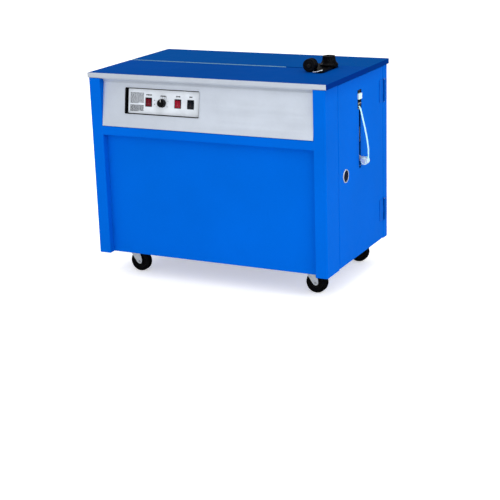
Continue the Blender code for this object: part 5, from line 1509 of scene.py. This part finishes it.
outer, inner = belt_loop(0.031, 0.0155, 0.0028), belt_loop(0.031, 0.0155, 0.0006)
belt = bmesh.new()
cols = []
for (ox, oy), (ix, iy) in zip(outer, inner):
    cols.append([belt.verts.new(c) for c in ((ox, oy, 0.0053), (ox, oy, -0.0053),
                                             (ix, iy, -0.0053), (ix, iy, 0.0053))])
for k in range(len(cols)):
    a, b = cols[k], cols[(k + 1) % len(cols)]
    for i in range(4):
        j = (i + 1) % 4
        belt.faces.new((a[i], a[j], b[j], b[i]))
bmesh.ops.recalc_face_normals(belt, faces=belt.faces)
piece("drive_belt_toothed",
      [(soften(placed(belt, axes((0, 1, 0), (0, 0, 1), (1, 0, 0), (0.1450, CY, CZ))), 0.0003, 2,
               50), BELT)], "cabinet", "drive_belt")

# ================================================================ strap reel
RX, RZ = -0.190, 0.315
st = carve(placed(prism(fillet([(-0.2300, 0.1063), (-0.1500, 0.1063), (-0.1500, 0.3100),
                                (-0.1700, 0.3400), (-0.2100, 0.3400), (-0.2300, 0.3100)],
                               [0, 0, 0.02, 0.012, 0.012, 0.02], 6, closed=True), -0.1100, -0.1060,
                        0.0006), axes((1, 0, 0), (0, 0, 1), (0, -1, 0))),
           rod((RX, 0.09, 0.22), (RX, 0.12, 0.22), 0.018, 36, 0.0))
ft = placed(prism(rect(-0.2600, -0.1200, 0.1060, 0.1800, 0.006), 0.1063, 0.1100, 0.0006), move(0, 0, 0))
gus = [placed(prism([(0.1100, 0.1100), (0.1500, 0.1100), (0.1100, 0.1750)], x, x + 0.003, 0.0004),
              axes((0, 1, 0), (0, 0, 1), (1, 0, 0))) for x in (-0.2280, -0.1550)]
stand_parts = [(joined(st, ft, *gus), STAND),
               (rod((RX, -0.1080, RZ), (RX, 0.1080, RZ), 0.0120, 40, 0.0008), STEEL)]
for x in (-0.248, -0.132):
    for y in (0.122, 0.166):
        stand_parts.append((screw(HEX, move(x, y, 0.1098), 0.9), SCREW_STEEL))
piece("reel_stand_welded", stand_parts, "cabinet", "reel_stand")

REEL_AT = HOME @ move(RX, 0, RZ) @ TO_Y
disc = lathe([(0.1900, 0.1000), (0.1900, 0.0975), (0.1890, 0.0970), (0.0980, 0.0970),
              (0.0126, 0.0970), (0.0126, 0.0992), (0.0300, 0.0992), (0.0310, 0.1000),
              (0.0340, 0.1000), (0.0350, 0.0990), (0.0820, 0.0990), (0.0830, 0.0998),
              (0.0860, 0.0998), (0.0870, 0.0990), (0.1835, 0.0990), (0.1845, 0.1000)], 96,
             ring=True)
wins = []
for k in range(4):
    a = rad(45 + 90 * k)
    wins.append(prism(circle(0.056 * math.cos(a), 0.056 * math.sin(a), 0.0215, 40), 0.05, 0.13, 0))
disc = soften(carve(disc, joined(*wins)), 0.0003, 1, 60)
ribs = [placed(rbox((0.0880, -0.0015, 0.0984), (0.1830, 0.0015, 0.0999), 0.0004, 1),
               turn(30 * k, 'Z')) for k in range(12)]
side_a = joined(disc, *ribs)
side_b = placed(side_a.copy(), turn(180, 'X'))
hub_bm = lathe([(0.0980, 0.0968), (0.0980, -0.0968), (0.0940, -0.0968), (0.0940, 0.0968)], 96,
               ring=True)
bore = lathe([(0.0180, 0.0968), (0.0180, -0.0968), (0.0126, -0.0968), (0.0126, 0.0968)], 48,
             ring=True)
webs = [placed(rbox((0.0178, -0.0015, -0.0968), (0.0942, 0.0015, 0.0968), 0.0004, 1),
               turn(90 * k, 'Z')) for k in range(4)]
piece("strap_reel_moulded", [(joined(side_a, side_b, hub_bm, bore, *webs), REEL_GREY)], "reel",
      "strap_reel", at=REEL_AT)

# wound strap: sixteen strap-wide turns side by side, edges slightly uneven
cp = []
turns = 16
for k in range(turns):
    z1 = 0.0963 - k * (0.1926 / turns)
    z0 = z1 - 0.1926 / turns
    lift = 0.0006 * math.sin(2.4 * k) - 0.0006
    cp += [(0.1590 + lift, z1 - 0.0002), (0.1597 + lift, z1 - 0.0008), (0.1597 + lift, z0 + 0.0008),
           (0.1590 + lift, z0 + 0.0002)]
coil = lathe(cp + [(0.0986, -0.0963), (0.0986, 0.0963)], 128, ring=True)
piece("strap_coil_wound", [(coil, COIL)], "reel", "strap_coil", at=REEL_AT)

# ================================================================ casters
WHEEL_R, TRAIL = 0.0375, 0.024
LEG = fillet([(-0.0200, 0.0832), (0.0220, 0.0832), (0.0335, 0.0455), (0.0335, 0.0350),
              (0.0290, 0.0285), (0.0195, 0.0282), (0.0140, 0.0330)],
             [0, 0, 0.010, 0.006, 0.006, 0.006, 0.006], 6, closed=True)
for pos, (px, py) in CASTERS.items():
    pl = prism(rect(-0.033, 0.033, -0.030, 0.030, 0.0060, 6), 0.1002, 0.1032, 0.0005)
    slots = [prism(rect(sx * 0.024 - 0.0062, sx * 0.024 + 0.0062, sy * 0.021 - 0.0036,
                        sy * 0.021 + 0.0036, 0.0034, 6), 0.09, 0.11, 0)
             for sx in (-1, 1) for sy in (-1, 1)]
    pl = carve(pl, joined(*slots))
    race = turned([(0.0, 0.1010), (0.0200, 0.1010), (0.0200, 0.0975), (0.0170, 0.0940),
                   (0.0, 0.0936)], 0.0010, 56)
    king = turned([(0.0, 0.0950), (0.0038, 0.0950), (0.0038, 0.0800), (0.0, 0.0795)], 0.0004, 24)
    parts = [(joined(pl, race, king), ZINC)]
    for sx in (-1, 1):
        for sy in (-1, 1):
            parts.append((screw(HEX, axes((1, 0, 0), (0, -1, 0), (0, 0, -1),
                                          (sx * 0.024, sy * 0.021, 0.1003)), 0.62), SCREW_STEEL))
    piece(pos + "_caster_plate_pressed", parts, "cabinet", pos + "_caster_plate",
          at=HOME @ move(px, py, 0))

    crown = turned([(0.0046, 0.0932), (0.0200, 0.0932), (0.0215, 0.0915), (0.0215, 0.0850),
                    (0.0195, 0.0830), (0.0046, 0.0830)], 0.0008, 56, ring=True)
    saddle = rbox((-0.0200, -0.0165, 0.0806), (0.0225, 0.0165, 0.0832), 0.0009)
    saddle = carve(saddle, lathe([(0, 0.09), (0.0046, 0.09), (0.0046, 0.07), (0, 0.07)], 24))
    legs = []
    for s in (-1, 1):
        leg = prism(LEG, -0.00115, 0.00115, 0.0005)
        legs.append(placed(leg, axes((1, 0, 0), (0, 0, 1), (0, -1, 0), (0, s * 0.01535, 0))))
        boss = lathe([(0.0, 0.0008), (0.0075, 0.0008), (0.0085, 0.0), (0.0, 0.0)], 32)
        legs.append(placed(boss, axes((1, 0, 0), (0, 0, -s), (0, s, 0),
                                      (TRAIL, s * 0.0164, WHEEL_R))))
    fparts = [(joined(crown, saddle, *legs), ZINC),
              (rod((TRAIL, -0.0190, WHEEL_R), (TRAIL, 0.0190, WHEEL_R), 0.0030, 20), SCREW_STEEL)]
    for s in (-1, 1):
        nut_bm = screw(HEX, axes((1, 0, 0), (0, 0, -s), (0, s, 0), (TRAIL, s * 0.0170, WHEEL_R)),
                       0.55 if s > 0 else 0.55)
        fparts.append((nut_bm, SCREW_STEEL))
    piece(pos + "_caster_fork_pressed", fparts, pos + "_swivel",
          pos + "_caster_fork", at=HOME @ move(px, py, 0))

    R = WHEEL_R
    tyre = lathe([(R - 0.0022, 0.0118), (R - 0.0008, 0.0108), (R - 0.0002, 0.0090), (R, 0.0060),
                  (R, -0.0060), (R - 0.0002, -0.0090), (R - 0.0008, -0.0108),
                  (R - 0.0022, -0.0118), (0.0285, -0.0120), (0.0275, -0.0112),
                  (0.0275, 0.0112), (0.0285, 0.0120)], 96, ring=True)
    rim_bm = turned([(0.0277, 0.0104), (0.0277, -0.0104), (0.0250, -0.0104), (0.0235, -0.0060),
                     (0.0120, -0.0052), (0.0105, -0.0120), (0.0035, -0.0120), (0.0035, 0.0120),
                     (0.0105, 0.0120), (0.0120, 0.0052), (0.0235, 0.0060), (0.0250, 0.0104)],
                    0.0006, 72, ring=True)
    spk = [placed(rbox((0.0110, -0.0011, s * 0.0072 - 0.0018), (0.0245, 0.0011,
                                                                s * 0.0072 + 0.0018), 0.0004, 1),
                  turn(60 * k, 'Z')) for k in range(6) for s in (-1, 1)]
    piece(pos + "_caster_wheel_tyred", [(tyre, TYRE), (joined(rim_bm, *spk), WHEEL)],
          pos + "_wheel", pos + "_caster_wheel",
          at=HOME @ move(px + TRAIL, py, WHEEL_R) @ TO_Y)

# ================================================================ stage, light, camera
def floor_material():
    n = Nodes("studio_floor")
    c = n.mix(n.span(n.noise(1.2, 3.0), 0.3, 0.7), (0.91, 0.91, 0.91), (0.94, 0.94, 0.94))
    # glossy rays see a dimmer floor, as if black flags stood round the set
    c = n.mix(n.node('ShaderNodeLightPath').outputs['Is Glossy Ray'], c, (0.13, 0.13, 0.13))
    lift = n.math('MULTIPLY', n.node('ShaderNodeLightPath').outputs['Is Camera Ray'], 0.44)
    n.link(lift, n.bsdf.inputs["Emission Strength"])
    n.bsdf.inputs["Emission Color"].default_value = (1.0, 1.0, 1.0, 1.0)
    return n.out(c, n.span(n.noise(30.0, 3.0), 0.3, 0.7, 0.62, 0.70), 0.0,
                 n.bump(n.noise(200.0, 2.0), 0.04, 0.0002), specular=0.10)


floor_mesh = bpy.data.meshes.new("studio_floor")
fb = bmesh.new()
bmesh.ops.create_grid(fb, x_segments=8, y_segments=8, size=14.0)
fb.to_mesh(floor_mesh)
fb.free()
floor = bpy.data.objects.new("studio_floor", floor_mesh)
floor.location = (0.0, 0.0, -0.0002)
floor_mesh.materials.append(floor_material())
COLLECTION.objects.link(floor)

world = bpy.data.worlds.new("studio") if not bpy.data.worlds else bpy.data.worlds[0]
bpy.context.scene.world = world
world.use_nodes = True
background = world.node_tree.nodes.get("Background") or world.node_tree.nodes.new('ShaderNodeBackground')
background.inputs["Color"].default_value = (1.0, 1.0, 1.0, 1.0)
tree = world.node_tree
paths = tree.nodes.new('ShaderNodeLightPath')
seen = tree.nodes.new('ShaderNodeMath')
seen.operation = 'MULTIPLY_ADD'                 # what the lens sees is the bright backdrop
tree.links.new(paths.outputs['Is Camera Ray'], seen.inputs[0])
seen.inputs[1].default_value, seen.inputs[2].default_value = 0.10, 0.90
flag = tree.nodes.new('ShaderNodeMath')
flag.operation = 'MULTIPLY_ADD'                 # and glossy rays a flagged one
tree.links.new(paths.outputs['Is Glossy Ray'], flag.inputs[0])
flag.inputs[1].default_value = -0.74
tree.links.new(seen.outputs[0], flag.inputs[2])
tree.links.new(flag.outputs[0], background.inputs["Strength"])


def area(name, at, target, size, power, colour=(1.0, 1.0, 1.0)):
    data = bpy.data.lights.new(name, 'AREA')
    data.shape = 'RECTANGLE'
    data.size, data.size_y = size
    data.energy = power
    data.color = colour
    ob = bpy.data.objects.new(name, data)
    ob.location = at
    d = Vector(target) - Vector(at)
    ob.rotation_euler = d.to_track_quat('-Z', 'Y').to_euler()
    COLLECTION.objects.link(ob)
    return ob


area("key_right", (3.4, -2.3, 2.4), (0.1, 0.0, 0.45), (2.4, 2.2), 44.0)
area("side_fill", (4.3, 0.7, 1.1), (0.4, 0.0, 0.40), (2.2, 1.6), 24.5, (0.90, 1.0, 0.88))
area("front_fill", (-1.0, -4.2, 0.9), (0.0, -0.1, 0.4), (3.0, 1.6), 26.0)
area("top_soft", (0.2, 0.3, 3.6), (0.0, 0.0, 0.5), (3.2, 2.6), 34.0)
area("rear_rim", (-3.0, 1.6, 3.0), (0.0, 0.1, 0.5), (1.8, 1.4), 16.0)

scene = bpy.context.scene
scene.view_settings.view_transform = 'Standard'
scene.view_settings.look = 'None'
scene.view_settings.exposure = 0.0
scene.view_settings.gamma = 1.0

cam_data = bpy.data.cameras.new("camera")
cam_data.lens = 95.83
cam_data.sensor_width = 36.0
cam_data.clip_end = 60.0
cam = bpy.data.objects.new("camera", cam_data)
cam.location = (2.109 - 0.014, -4.123, 1.469)
cam.rotation_euler = (rad(73.07), rad(1.78), rad(26.36))
COLLECTION.objects.link(cam)
scene.camera = cam

bpy.context.view_layer.update()
